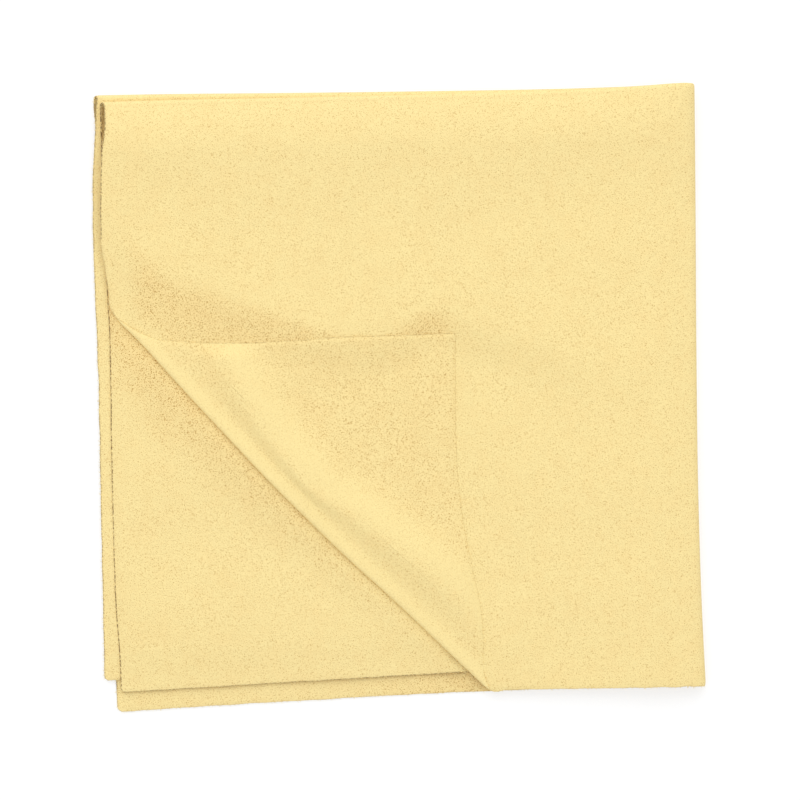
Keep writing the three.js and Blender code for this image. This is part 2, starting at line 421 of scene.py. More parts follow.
@dataclass(frozen=True)
class TurnLine:
    """The line along which the top layer's corner turns back, seen from above, in millimetres.

    Attributes:
        along: Direction of the line on the page, from the left edge to the lower edge.
        inward: Direction from the line to the tip of the turned corner.
        front: Front of the roll, as pairs of place along the line and distance from the middle.
    """

    along: Span = (0.6969752, -0.7170952)
    inward: Span = (0.7170952, 0.6969752)
    front: Knots = (
        (-84.0, -49.8), (-70.0, -49.9), (-60.0, -50.4), (-45.0, -51.2), (-30.0, -51.7), (-15.0, -52.3),
        (7.0, -52.5), (30.0, -52.2), (45.0, -51.5), (60.0, -51.1), (80.0, -50.7), (92.0, -50.4),
    )

    def page(self, along: Array, behind: Array) -> Array:
        """Returns x and y on the page for places along the line and distances behind the front."""
        depth = through(self.front, along) + behind
        return np.multiply.outer(along, self.along) + np.multiply.outer(depth, self.inward)

    def place(self, x: Array, y: Array) -> tuple[Array, Array]:
        """Finds where points of the page lie.

        Args:
            x: Places across the page.
            y: Places up the page.

        Returns:
            Places along the line, and distances behind the front.
        """
        along = x * self.along[0] + y * self.along[1]
        depth = x * self.inward[0] + y * self.inward[1]
        return along, depth - through(self.front, along)


@dataclass(frozen=True)
class FoldedStack:
    """Heights and fold lines of the four layers, as in the solids, in millimetres.

    Attributes:
        turn: Line along which the top layer's corner turns back.
        half_side: Half the side of the folded square.
        loops_width: Width of the square that the spine's loops take up.
        thickness: Thickness of the cloth.
        spacing: Distance between the middles of two layers that lie close.
        top_loop: Radius of the loops along the top edge.
        spine_loop: Radius of the inner loop along the spine.
        reach: How far from a fold the layers still stand apart.
        front_drop: How far the front top fold lies below the back one at its free end.
        drop_power: Below 1 where most of that comes early.
        drop_start: Share of the width over which it starts.
        hinge: Height of the line about which the folded cloth opens.
        draw_in: How far the spine bows inwards, by height on the page.
        sag: How far the top folds bow inwards, by place across the page.
        puff: How far the top layer stands up below its fold.
        puff_foot: Height on the page where it sinks back, by place across the page.
        puff_rise: Distance over which it sinks, by place across the page.
        puff_across: Places across the page where it starts and is full.
        spine_puff: How far the top layer stands up beside the spine.
        spine_puff_across: Places across the page where that starts and is full.
        pillow: Distance over which a puffed layer rounds off towards a fold.
        pillow_power: How steeply it does.
        fold_hold: Distance over which a fold holds the cloth still.
        mound: How far the layers under the turned corner stand up, by place along the turn.
        mound_front: How far in front of the turn they sink back, by place along the turn.
        mound_power: How steeply they do.
        mound_back: How far behind the turn they sink back.
        mound_side: Distance from the left edge over which they stand up.
        press: How far the turned corner presses the second layer down.
        press_reach: How far in front of the turn it is pressed.
        nestle: How far the top layer lies closer to the second one along the turn.
        nestle_at: Distance behind the turn at which it does.
        nestle_reach: Distance over which that fades.
        shade_in_front: Painted shade on the second layer in front of the turn's middle, where the roll's
            shadow falls, and its change along the turn.
        shade_most: The most that it comes to.
        shade_foot_width: How wide the painted shade is at the foot of the top layer's puff, where that slope
            lies in shade.
        shade_left: Places across the page between which that starts on the left.
        shade_right: Places across the page between which it ends on the right.
        shade_strip: Heights between which painted shade rises on the bottom layer's strip.
        shade_strip_values: Painted shade at the strip's left and right.
        shade_strip_across: Places across the page between which it changes.
    """

    turn: TurnLine
    half_side: float = 100.0
    loops_width: float = 5.0
    thickness: float = 0.7
    spacing: float = 1.0
    top_loop: float = 1.3
    spine_loop: float = 1.5
    reach: float = 45.0
    front_drop: float = 2.5
    drop_power: float = 0.85
    drop_start: float = 0.06
    hinge: float = 3.65
    draw_in: Knots = ((-101.0, 0.0), (-77.0, 0.75), (-37.0, 1.25), (13.0, 0.93), (63.0, 0.27), (98.0, 0.0))
    sag: Knots = (
        (-98.0, 0.0), (-80.0, 0.0), (-33.0, 0.45), (16.0, 0.77), (66.0, 0.73), (90.0, 0.2), (96.0, 0.0),
    )
    puff: float = 2.1
    puff_foot: Knots = (
        (-99.0, 34.0), (-94.0, 29.0), (-89.0, 24.0), (-83.0, 18.5), (-75.0, 14.0), (-65.0, 12.5),
        (-55.0, 12.0), (-45.0, 10.0), (-33.0, 6.5), (-20.0, 3.0), (-4.0, 4.0), (6.0, 9.0),
        (14.0, 11.5), (22.0, 8.0), (60.0, -6.0),
    )
    puff_rise: Knots = (
        (-99.0, 30.0), (-83.0, 29.0), (-65.0, 24.5), (-55.0, 20.5), (-40.0, 18.5), (60.0, 17.0),
    )
    puff_across: Span = (92.0, 17.0)
    spine_puff: float = 1.3
    spine_puff_across: Span = (20.0, 80.0)
    pillow: float = 15.0
    pillow_power: float = 1.5
    fold_hold: float = 1.2
    mound: Knots = (
        (-95.0, 0.6), (-75.0, 1.6), (-45.0, 2.6), (0.0, 2.5), (45.0, 1.8), (70.0, 1.4), (95.0, 0.6),
    )
    mound_front: Knots = ((-60.0, 24.0), (60.0, 11.0))
    mound_power: float = 1.7
    mound_back: float = 30.0
    mound_side: float = 16.0
    press: float = 1.1
    press_reach: float = 4.0
    nestle: float = 0.2
    nestle_at: float = 3.0
    nestle_reach: float = 14.0
    shade_in_front: Span = (0.8, -0.0095)
    shade_most: float = 1.25
    shade_foot_width: float = 4.4
    shade_left: Span = (-92.0, -83.0)
    shade_right: Span = (20.0, 12.0)
    shade_strip: Span = (-88.0, -92.0)
    shade_strip_values: Span = (0.15, 0.9)
    shade_strip_across: Span = (-25.0, 20.0)

    @property
    def fold_start(self) -> float:
        """Height on the page at which the back top fold starts."""
        return self.half_side - self.thickness / 2.0 - self.top_loop

    @property
    def layer_width(self) -> float:
        """Width of a flat layer beside the spine's loops."""
        return 2.0 * self.half_side - self.loops_width

    @property
    def spine_top(self) -> float:
        """Place across the page of the spine's loops at the top fold."""
        return float(self.spine_start(np.array(self.fold_start)))

    def closeness(self, distance: Array) -> Array:
        """Returns 1 at a fold, easing to 0 at the end of its reach."""
        return smooth(1.0 - distance / self.reach)

    def pair_gap(self, y: Array, drop: Array | float = 0.0) -> Array:
        """Returns the distance between two layers that a top fold joins."""
        return mix(self.spacing, 2.0 * self.top_loop, self.closeness(self.fold_start - drop - y))

    def spine_start(self, y: Array) -> Array:
        """Returns where the spine's loops leave the flat layers."""
        edge = self.half_side - through(self.draw_in, y)
        return edge - self.thickness / 2.0 - self.spine_loop - self.pair_gap(y)

    def halves_gap(self, x: Array, y: Array) -> Array:
        """Returns the distance between the two halves that the spine joins."""
        return mix(self.spacing, 2.0 * self.spine_loop, self.closeness(self.spine_start(y) - x))

    def drop(self, x: Array) -> Array:
        """Returns how far the front top fold lies below the back one."""
        share = np.clip((self.spine_top - x) / self.layer_width, 0.0, 1.0)
        return self.front_drop * share**self.drop_power * ramp(share, 0.0, self.drop_start)

    def fold_line(self, x: Array, front: bool) -> Array:
        """Returns the height on the page at which a top fold starts."""
        line = self.fold_start - through(self.sag, x)
        return line - self.drop(x) if front else line

    def rounded(self, distance: Array) -> Array:
        """Returns 0 at a fold and 1 beyond it, rising like the side of a pillow."""
        part = np.clip(distance / self.pillow, 0.0, 1.0)
        return (1.0 - (1.0 - part) ** self.pillow_power) * ramp(distance, 0.0, self.fold_hold)

    def calm(self, x: Array, y: Array) -> Array:
        """Returns 0 at the folds, where the loops hold the cloth, and 1 away from them."""
        return self.rounded(self.spine_start(y) - x) * self.rounded(self.fold_line(x, True) - y)

    def puffed(self, x: Array, y: Array) -> Array:
        """Returns 0 at the foot of the top layer's puff and 1 where it is full."""
        return np.clip((y - through(self.puff_foot, x)) / through(self.puff_rise, x), 0.0, 1.0)

    def in_front(self, x: Array, y: Array) -> Array:
        """Returns 1 under the turned corner, falling to 0 in front of it."""
        along, behind = self.turn.place(x, y)
        return np.clip(1.0 + np.minimum(behind, 0.0) / through(self.mound_front, along), 0.0, 1.0)

    def swell(self, layer: Layer, x: Array, y: Array) -> Array:
        """Works out how far a layer stands off the one below it beyond the plain gap.

        Args:
            layer: Layer that swells.
            x: Places across the square.
            y: Places up the square.

        Returns:
            Extra height.
        """
        along, behind = self.turn.place(x, y)
        pressed, lift = 0.0, np.zeros(np.broadcast(x, y).shape)
        if layer is Layer.SECOND:
            beside = smooth((x - EDGES[layer].left_at(y)) / self.mound_side)
            mound = through(self.mound, along) * self.in_front(x, y) ** self.mound_power * beside
            weight = self.press * smooth(1.0 + behind / self.press_reach)
            lift = np.maximum(mound - weight, 0.0) * smooth(1.0 - behind / self.mound_back)
        elif layer is Layer.TOP:
            lift = self.puff * smooth(self.puffed(x, y)) * ramp(x, *self.puff_across)
            lift = lift + self.spine_puff * ramp(x, *self.spine_puff_across)
            pressed = self.nestle * smooth(1.0 - np.abs(behind - self.nestle_at) / self.nestle_reach)
        return (np.maximum(lift + WAVES[layer].at(x, y), 0.0) - pressed) * self.calm(x, y)

    def painted_shade(self, layer: Layer, x: Array, y: Array) -> Array:
        """Works out where shade is painted, as deeper and warmer pits between the tufts.

        Args:
            layer: Layer asked for.
            x: Places across the square.
            y: Places up the square.

        Returns:
            0 where none is painted, up to about 1 where the painted shade is deepest.
        """
        # Painted shade on the second layer in front of the roll, where the roll shades it.
        if layer is Layer.SECOND:
            along, _ = self.turn.place(x, y)
            middle, change = self.shade_in_front
            return smooth(self.in_front(x, y)) * np.clip(middle + change * along, 0.0, self.shade_most)
        # Painted shade along the foot of the top layer's puff, where its slope lies in shade.
        if layer is Layer.TOP:
            part = self.puffed(x, y)
            painted_light_band = smooth(self.shade_foot_width * part * (1.0 - part))
            return painted_light_band * ramp(x, *self.shade_right) * ramp(x, *self.shade_left)
        # Painted shadow on the bottom layer's strip, deepest towards the right beside the turned corner's
        # lower end.
        if layer is Layer.BOTTOM:
            value = mix(*self.shade_strip_values, ramp(x, *self.shade_strip_across))
            return ramp(y, *self.shade_strip) * value
        return np.zeros(np.broadcast(x, y).shape)

    def height(self, layer: Layer, x: Array, y: Array) -> Array:
        """Adds up gaps and swellings from the table to the middle of a layer.

        Args:
            layer: Layer asked for.
            x: Places across the square.
            y: Places up the square.

        Returns:
            Height of the layer's middle.
        """
        z = self.thickness / 2.0 + np.zeros(np.broadcast(x, y).shape)
        if layer.value >= Layer.THIRD.value:
            z = z + self.pair_gap(y) + self.swell(Layer.THIRD, x, y)
        if layer.value >= Layer.SECOND.value:
            z = z + self.halves_gap(x, y) + self.swell(Layer.SECOND, x, y)
        if layer.value >= Layer.TOP.value:
            z = z + self.pair_gap(y, self.drop(x)) + self.swell(Layer.TOP, x, y)
        return z


@dataclass(frozen=True)
class CutEdges:
    """Free edges of one layer, as pairs measured on the page, in millimetres.

    Attributes:
        left: Pairs of height on the page and place of the left edge.
        lower: Pairs of place across the page and height of the lower edge.
        corner: Radius of the worn corner between them.
        left_edge_shade: Painted shade along the left cut, from 0 to 1, for the shadow in the gap beneath it.
        lower_edge_shade: The same for the lower cut.
        left_droop: How far the left edge lies down on the layer below.
        lower_droop: The same for the lower edge.
        seed: Fixes the waviness of the cut.
        roundness: How fully the worn corner is round, below 1.
        wave: How far the cut strays from a clean line.
        wave_length: Typical length of that waviness.
        shade_blend_reach: Distance over which the lower cut's painted shade gives way to the left one's.
        left_reach: How far from the left edge the layer droops.
        lower_reach: How far from the lower edge it droops.
    """

    left: Knots
    lower: Knots
    corner: float
    left_edge_shade: float
    lower_edge_shade: float
    left_droop: float
    lower_droop: float
    seed: int
    roundness: float = 0.97
    wave: float = 0.05
    wave_length: float = 12.0
    shade_blend_reach: float = 10.0
    left_reach: float = 3.0
    lower_reach: float = 15.0

    def lower_at(self, x: Array) -> Array:
        """Returns the height on the page of the lower edge."""
        return through(self.lower, x) + self.wave * ripple(x, 0.0 * x, self.wave_length, self.seed)

    def left_at(self, y: Array) -> Array:
        """Follows the left edge, drawn in at the worn corner.

        Args:
            y: Places up the page.

        Returns:
            The edge's places across the page.
        """
        plain = through(self.left, y) + self.wave * ripple(y, 0.0 * y, self.wave_length, self.seed + 1)
        end = min(value for _, value in self.lower)
        near = np.clip(1.0 - (y - end) / self.corner, 0.0, 1.0)
        return plain + self.corner * (1.0 - np.sqrt(1.0 - self.roundness * near**2))

    def depth(self, x: Array, y: Array) -> Array:
        """Returns the painted shade of the cut nearest to each point."""
        above = smooth((y - through(self.lower, x)) / self.shade_blend_reach)
        return mix(self.lower_edge_shade, self.left_edge_shade, above)

    def sink(self, x: Array, y: Array) -> Array:
        """Lets the layer droop at its cut edges.

        Args:
            x: Places across the page.
            y: Places up the page.

        Returns:
            How far each point lies lower than a flat layer would.
        """
        left = self.left_droop * smooth(1.0 - (x - through(self.left, y)) / self.left_reach)
        lower = self.lower_droop * smooth(1.0 - (y - through(self.lower, x)) / self.lower_reach)
        return np.maximum(left, lower)


# The painted shade along each layer's cuts is strongest where its edges stand over a layer below, most on the
# second layer.
EDGES: dict[Layer, CutEdges] = {
    Layer.BOTTOM: CutEdges(
        left=[(99.2, -100.4), (0.0, -98.6), (-60.0, -97.6), (-96.0, -96.8), (-106.2, -96.5)],
        lower=[(-96.5, -106.0), (-40.0, -103.6), (28.0, -101.4), (96.0, -101.0)],
        corner=1.6, left_edge_shade=0.8, lower_edge_shade=0.1, left_droop=0.0, lower_droop=0.0, seed=101,
    ),
    Layer.THIRD: CutEdges(
        left=[(99.2, -99.3), (90.0, -99.9), (81.6, -100.6), (0.0, -100.7), (-95.4, -100.6)],
        lower=[(-100.0, -95.4), (0.0, -93.6), (96.0, -91.7)],
        corner=1.3, left_edge_shade=0.6, lower_edge_shade=0.3, left_droop=0.35, lower_droop=0.35, seed=113,
    ),
    Layer.SECOND: CutEdges(
        left=[
            (98.0, -98.2), (64.9, -98.1), (46.5, -97.8), (23.8, -96.8), (-18.2, -96.8),
            (-68.5, -96.4), (-95.2, -95.2), (-99.6, -95.2),
        ],
        lower=[(-95.3, -99.5), (21.0, -94.8), (96.0, -91.7)],
        corner=1.2, left_edge_shade=1.0, lower_edge_shade=0.75, left_droop=0.7, lower_droop=1.0, seed=127,
    ),
    Layer.TOP: CutEdges(
        left=[(97.0, -96.9), (91.5, -96.4), (81.5, -97.6), (64.9, -98.5), (50.1, -98.8)],
        lower=[(0.0, -101.0), (96.0, -101.0)],
        corner=0.5, left_edge_shade=0.85, lower_edge_shade=0.05, left_droop=0.0, lower_droop=0.0, seed=139,
    ),
}


@dataclass(frozen=True)
class Finish:
    """What a piece of the cloth is dressed with.

    Attributes:
        cloth: Material of the sheet.
        fibre: Material of the loose fibres along its cut edges.
        fringe: Node tree that grows those fibres.
    """

    cloth: Material
    fibre: Material
    fringe: "FringeTree"


@dataclass(frozen=True)
class Bend:
    """Where a stretch of cloth bends between two bodies.

    Attributes:
        before: Body that holds the cloth before the bend.
        after: Body that holds it after the bend.
        start: Point where the bend starts, in metres.
        end: Point where it ends, in metres.
    """

    before: str
    after: str
    start: tuple[float, float, float]
    end: tuple[float, float, float]

    @classmethod
    def between(cls, before: str, after: str, first: Array, last: Array, across: Sequence[float]) -> "Bend":
        """Fits a level bend between two rows, so that each row lies wholly on its own side of it.

        Args:
            before: Body of the first row.
            after: Body of the last row.
            first: Points of the first row, in millimetres.
            last: Points of the last row, in millimetres.
            across: Direction on the page that crosses the rows.

        Returns:
            The bend.
        """
        way = np.array([*across, 0.0])
        way = way * np.sign((last.mean(axis=0) - first.mean(axis=0)) @ way)
        middle = (first.mean(axis=0) + last.mean(axis=0)) / 2.0
        near = middle + way * ((first - middle) @ way).max()
        far = middle + way * ((last - middle) @ way).min()
        log.info("bend from %s to %s: %.2f mm", before, after, float((far - near) @ way))
        return cls(before, after, tuple(near * MILLIMETRE), tuple(far * MILLIMETRE))


@dataclass(frozen=True)
class Sheet:
    """What a piece is as cloth, cut flat.

    Attributes:
        width: Flat width in metres.
        length: Flat length in metres.
        area: Flat area in square metres.
        rests_on: Names of what it lies on.
    """

    width: float
    length: float
    area: float
    rests_on: tuple[str, ...] = ()


def dress(
    grid: ClothGrid, finish: Finish, hold: str | Bend, nodes: Sequence[str], seed: int
) -> Piece:
    """Builds a stretch of cloth with its loose fibres, and ties both to their body, or bakes their transform
    in where the stretch lies on a bend.

    Args:
        grid: The stretch.
        finish: Materials and fibres.
        hold: Body that carries it, or the bend that it lies on, whose bodies and ends are not used here.
        nodes: Solids that it stands for.
        seed: Fixes the fibres.

    Returns:
        The piece.
    """
    piece = grid.build()
    piece.data.materials.append(finish.cloth)
    roots, facing = grid.fringe_roots(finish.fringe.spacing, seed)
    fringe = finish.fringe.grow(f"{grid.name}_fibres", roots, facing, finish.fibre, seed)
    for part in (piece, fringe):
        if isinstance(hold, Bend):
            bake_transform(part)
        else:
            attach(part, hold)
    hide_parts(*nodes)
    log.info("%s: %d faces, %d fibres", piece.name, len(piece.data.polygons), len(roots))
    return piece


@dataclass
class FoldedHalves:
    """The two folded halves of the cloth and the spine between them.

    Attributes:
        stack: Heights and fold lines.
        step: Spacing of the grid.
        loop_rows: Rows round a top fold.
        sharpness: How much the corner where both folds meet is drawn to a point.
        seam_left: Where the turned corner's own cloth starts on the left edge.
        seam_lower: Where it starts on the lower edge.
        left_side: Place across the page of the top layer's left edge, for spacing its rows.
        free_end: Place across the page of the top folds' free ends.
        inner_short: How much shorter the inner layers are, for spacing their rows.
        level_share: Share of the width beside the spine over which a lower edge runs level.
        hinge_reach: How far above and below its hinge the spine bends.
        spine_turns: Turns in degrees of the columns round the spine, closest where it bends.
        outer: Shares of the rows on the outer layers, from the top fold down.
        inner: The same for the inner layers.
        across: Shares of the columns, from the spine to the left edge.
        loop: Turns of the rows round a top fold.
        seam_row: Row of the top layer at which the turned corner's cloth starts.
    """

    stack: FoldedStack
    step: float = 1.9
    loop_rows: int = 12
    sharpness: float = 0.55
    seam_left: Span = (-98.8, 50.1)
    seam_lower: Span = (40.7, -101.0)
    left_side: float = -99.0
    free_end: float = -98.0
    inner_short: float = 10.0
    level_share: float = 0.05
    hinge_reach: float = 0.33
    spine_turns: tuple[float, ...] = (
        -90, -87, -80, -68, -54, -40, -28, -18, -9, 0, 5, 9, 12, 15, 18,
        21, 24, 27, 30, 34, 39, 46, 54, 63, 71, 78, 84, 88, 90,
    )
    outer: Array = field(init=False)
    inner: Array = field(init=False)
    across: Array = field(init=False)
    loop: Array = field(init=False)
    seam_row: int = field(init=False)

    def __post_init__(self) -> None:
        """Spaces the rows and columns that neighbouring pieces share."""
        side = 2.0 * self.stack.half_side
        upper = self.stack.fold_start - float(self.stack.drop(np.array(self.left_side)))
        turn = (upper - self.seam_left[1]) / (upper - self.seam_lower[1])
        above = stations(side * turn, self.step, True, False) * turn
        below = turn + (1.0 - turn) * stations(side * (1.0 - turn), self.step, True, True)
        self.outer = np.concatenate([above, below[1:]])
        self.seam_row = len(above) - 1
        self.inner = stations(side - self.inner_short, self.step)
        self.across = stations(self.stack.layer_width, self.step)
        self.loop = np.linspace(-math.pi / 2.0, math.pi / 2.0, self.loop_rows + 1)

    @property
    def roll_columns(self) -> Array:
        """Shares along the seam at which the turned corner's columns stand."""
        seam = self.outer[self.seam_row :]
        return (seam - seam[0]) / (seam[-1] - seam[0])

    def quarter(self, layer: Layer, rows: Array, drop: bool) -> Array:
        """Lays out one flat layer from its top fold to its lower edge.

        Args:
            layer: Layer to lay out.
            rows: Shares from the fold to the lower edge.
            drop: Whether the layer hangs from the front top fold.

        Returns:
            Points by row and column.
        """
        edges, stack = EDGES[layer], self.stack
        share, down = np.meshgrid(self.across, rows)
        fold = stack.fold_line(mix(stack.spine_top, self.free_end, share), drop)
        low = edges.lower_at(mix(stack.spine_top, edges.lower[0][0], share))
        low = mix(edges.lower[-1][1], low, ramp(share, 0.0, self.level_share))
        y = mix(fold, low, down)
        side = y[:, -1]
        left = edges.left_at(side)
        if layer is Layer.TOP:
            turn = (side - self.seam_left[1]) / (self.seam_lower[1] - self.seam_left[1])
            line = mix(self.seam_left[0], self.seam_lower[0], turn)
            left = np.where(np.arange(len(rows)) >= self.seam_row, line, left)
        x = mix(stack.spine_start(y), left[:, None], share)
        z = stack.height(layer, x, y) - edges.sink(x, y) * stack.calm(x, y)
        if layer in LIPS:
            z = z + LIPS[layer].at(x, y)
        return np.stack([x, y, z], axis=-1)

    def top_fold(self, below: Array, above: Array) -> Array:
        """Carries the cloth round a top fold.

        Args:
            below: Points of the lower layer's row at the fold.
            above: Points of the upper layer's row at the fold.

        Returns:
            Points by row and column, without the two rows given.
        """
        turns = self.loop[1:-1, None]
        middle, radius = (below + above) / 2.0, (above[:, 2] - below[:, 2]) / 2.0
        share = (np.sin(turns) + 1.0) / 2.0
        x = mix(below[:, 0], above[:, 0], share)
        y = middle[:, 1] + np.cos(turns) * self.stack.top_loop
        return np.stack([x, y, middle[:, 2] + np.sin(turns) * radius], axis=-1)

    def half(self, name: str, lower: Layer, upper: Layer) -> ClothGrid:
        """Joins two layers and their top fold into one stretch of cloth.

        Args:
            name: Name of the piece.
            lower: Layer below the fold.
            upper: Layer above it.

        Returns:
            The stretch, from the lower layer's free edge to the upper one's.
        """
        front = upper is Layer.TOP
        below = self.quarter(lower, self.inner if front else self.outer, front)[::-1]
        above = self.quarter(upper, self.outer if front else self.inner, front)
        points = np.concatenate([below, self.top_fold(below[-1], above[0]), above])
        seams = np.zeros(points.shape[:2], dtype=bool)
        seams[:, 0] = True
        if front:
            seams[len(points) - len(above) + self.seam_row :, -1] = True
        painted_shade, depth = np.zeros(seams.shape), np.full(seams.shape, EDGES[upper].left_edge_shade)
        for layer, rows, part in (
            (lower, slice(None, len(below)), below),
            (upper, slice(-len(above), None), above),
        ):
            painted_shade[rows] = self.stack.painted_shade(layer, part[..., 0], part[..., 1])
            depth[rows] = EDGES[layer].depth(part[..., 0], part[..., 1])
        return ClothGrid(name, points, seams, self.stack.thickness, painted_shade, depth)

    def spine(self, name: str) -> ClothGrid:
        """Runs the nested spine loops into the doubled loop at the top corner.

        Args:
            name: Name of the piece.

        Returns:
            The stretch, from the inner loop's free end over the corner to the outer one's.
        """
        stack = self.stack
        turns = np.radians(self.spine_turns)
        each = np.ones((1, len(turns)))
        inside = mix(stack.fold_start, EDGES[Layer.THIRD].lower[-1][1], self.inner)[::-1]
        outside = mix(stack.fold_start, EDGES[Layer.BOTTOM].lower[-1][1], self.outer)
        held = np.concatenate([inside, np.full(self.loop_rows - 1, stack.fold_start), outside])
        power = 1.0 - self.sharpness * np.cos(turns) ** 2
        corner = self.loop[1:-1, None]
        out = np.cos(corner) ** power
        over = np.sign(corner) * np.abs(np.sin(corner)) ** power
        inner, outer = stack.spine_loop + 0.0 * inside, stack.spine_loop + stack.pair_gap(outside)
        beside = stack.spine_loop + stack.top_loop * (1.0 + over)
        radius = np.concatenate([inner[:, None] * each, beside, outer[:, None] * each])
        above = stack.fold_start + stack.top_loop * out
        y = np.concatenate([inside[:, None] * each, above, outside[:, None] * each])
        centre = stack.thickness / 2.0 + stack.pair_gap(held) + stack.spine_loop
        x = stack.spine_start(held)[:, None] + radius * np.cos(turns)
        points = np.stack([x, y, centre[:, None] + radius * np.sin(turns)], axis=-1)
        seams = np.zeros(points.shape[:2], dtype=bool)
        seams[:, 0] = seams[:, -1] = True
        depth = np.full(seams.shape, EDGES[Layer.BOTTOM].lower_edge_shade)
        return ClothGrid(name, points, seams, stack.thickness, np.zeros(seams.shape), depth)

    def assemble(self, finish: Finish) -> list[Piece]:
        """Builds both halves and the spine.

        Args:
            finish: Materials and fibres.

        Returns:
            The pieces.
        """
        back = self.half("back_half_cloth", Layer.BOTTOM, Layer.THIRD)
        front = self.half("front_half_cloth", Layer.SECOND, Layer.TOP)
        spine = self.spine("spine_cloth")
        start, end = (
            tuple(np.array([self.stack.half_side, 0.0, self.stack.hinge + reach]) * MILLIMETRE)
            for reach in (-self.hinge_reach, self.hinge_reach)
        )
        bend = Bend("back_half", "front_half", start, end)
        back_nodes = ["bottom_quarter", "third_quarter", "back_top_fold"]
        front_nodes = ["second_quarter", "top_quarter", "front_top_fold"]
        spine_nodes = [
            f"{fold}_{half}"
            for fold in ("outer_spine", "inner_spine", "corner_fold")
            for half in ("lower", "upper")
        ]
        return [
            dress(back, finish, "back_half", back_nodes, seed=211),
            dress(front, finish, "front_half", front_nodes, seed=223),
            dress(spine, finish, bend, spine_nodes, seed=227),
        ]


class RollZone(Enum):
    """Stretches of the turned corner, from the top layer round to the corner's tip."""

    FOOT = "foot"
    UNDER = "under"
    OVER = "over"


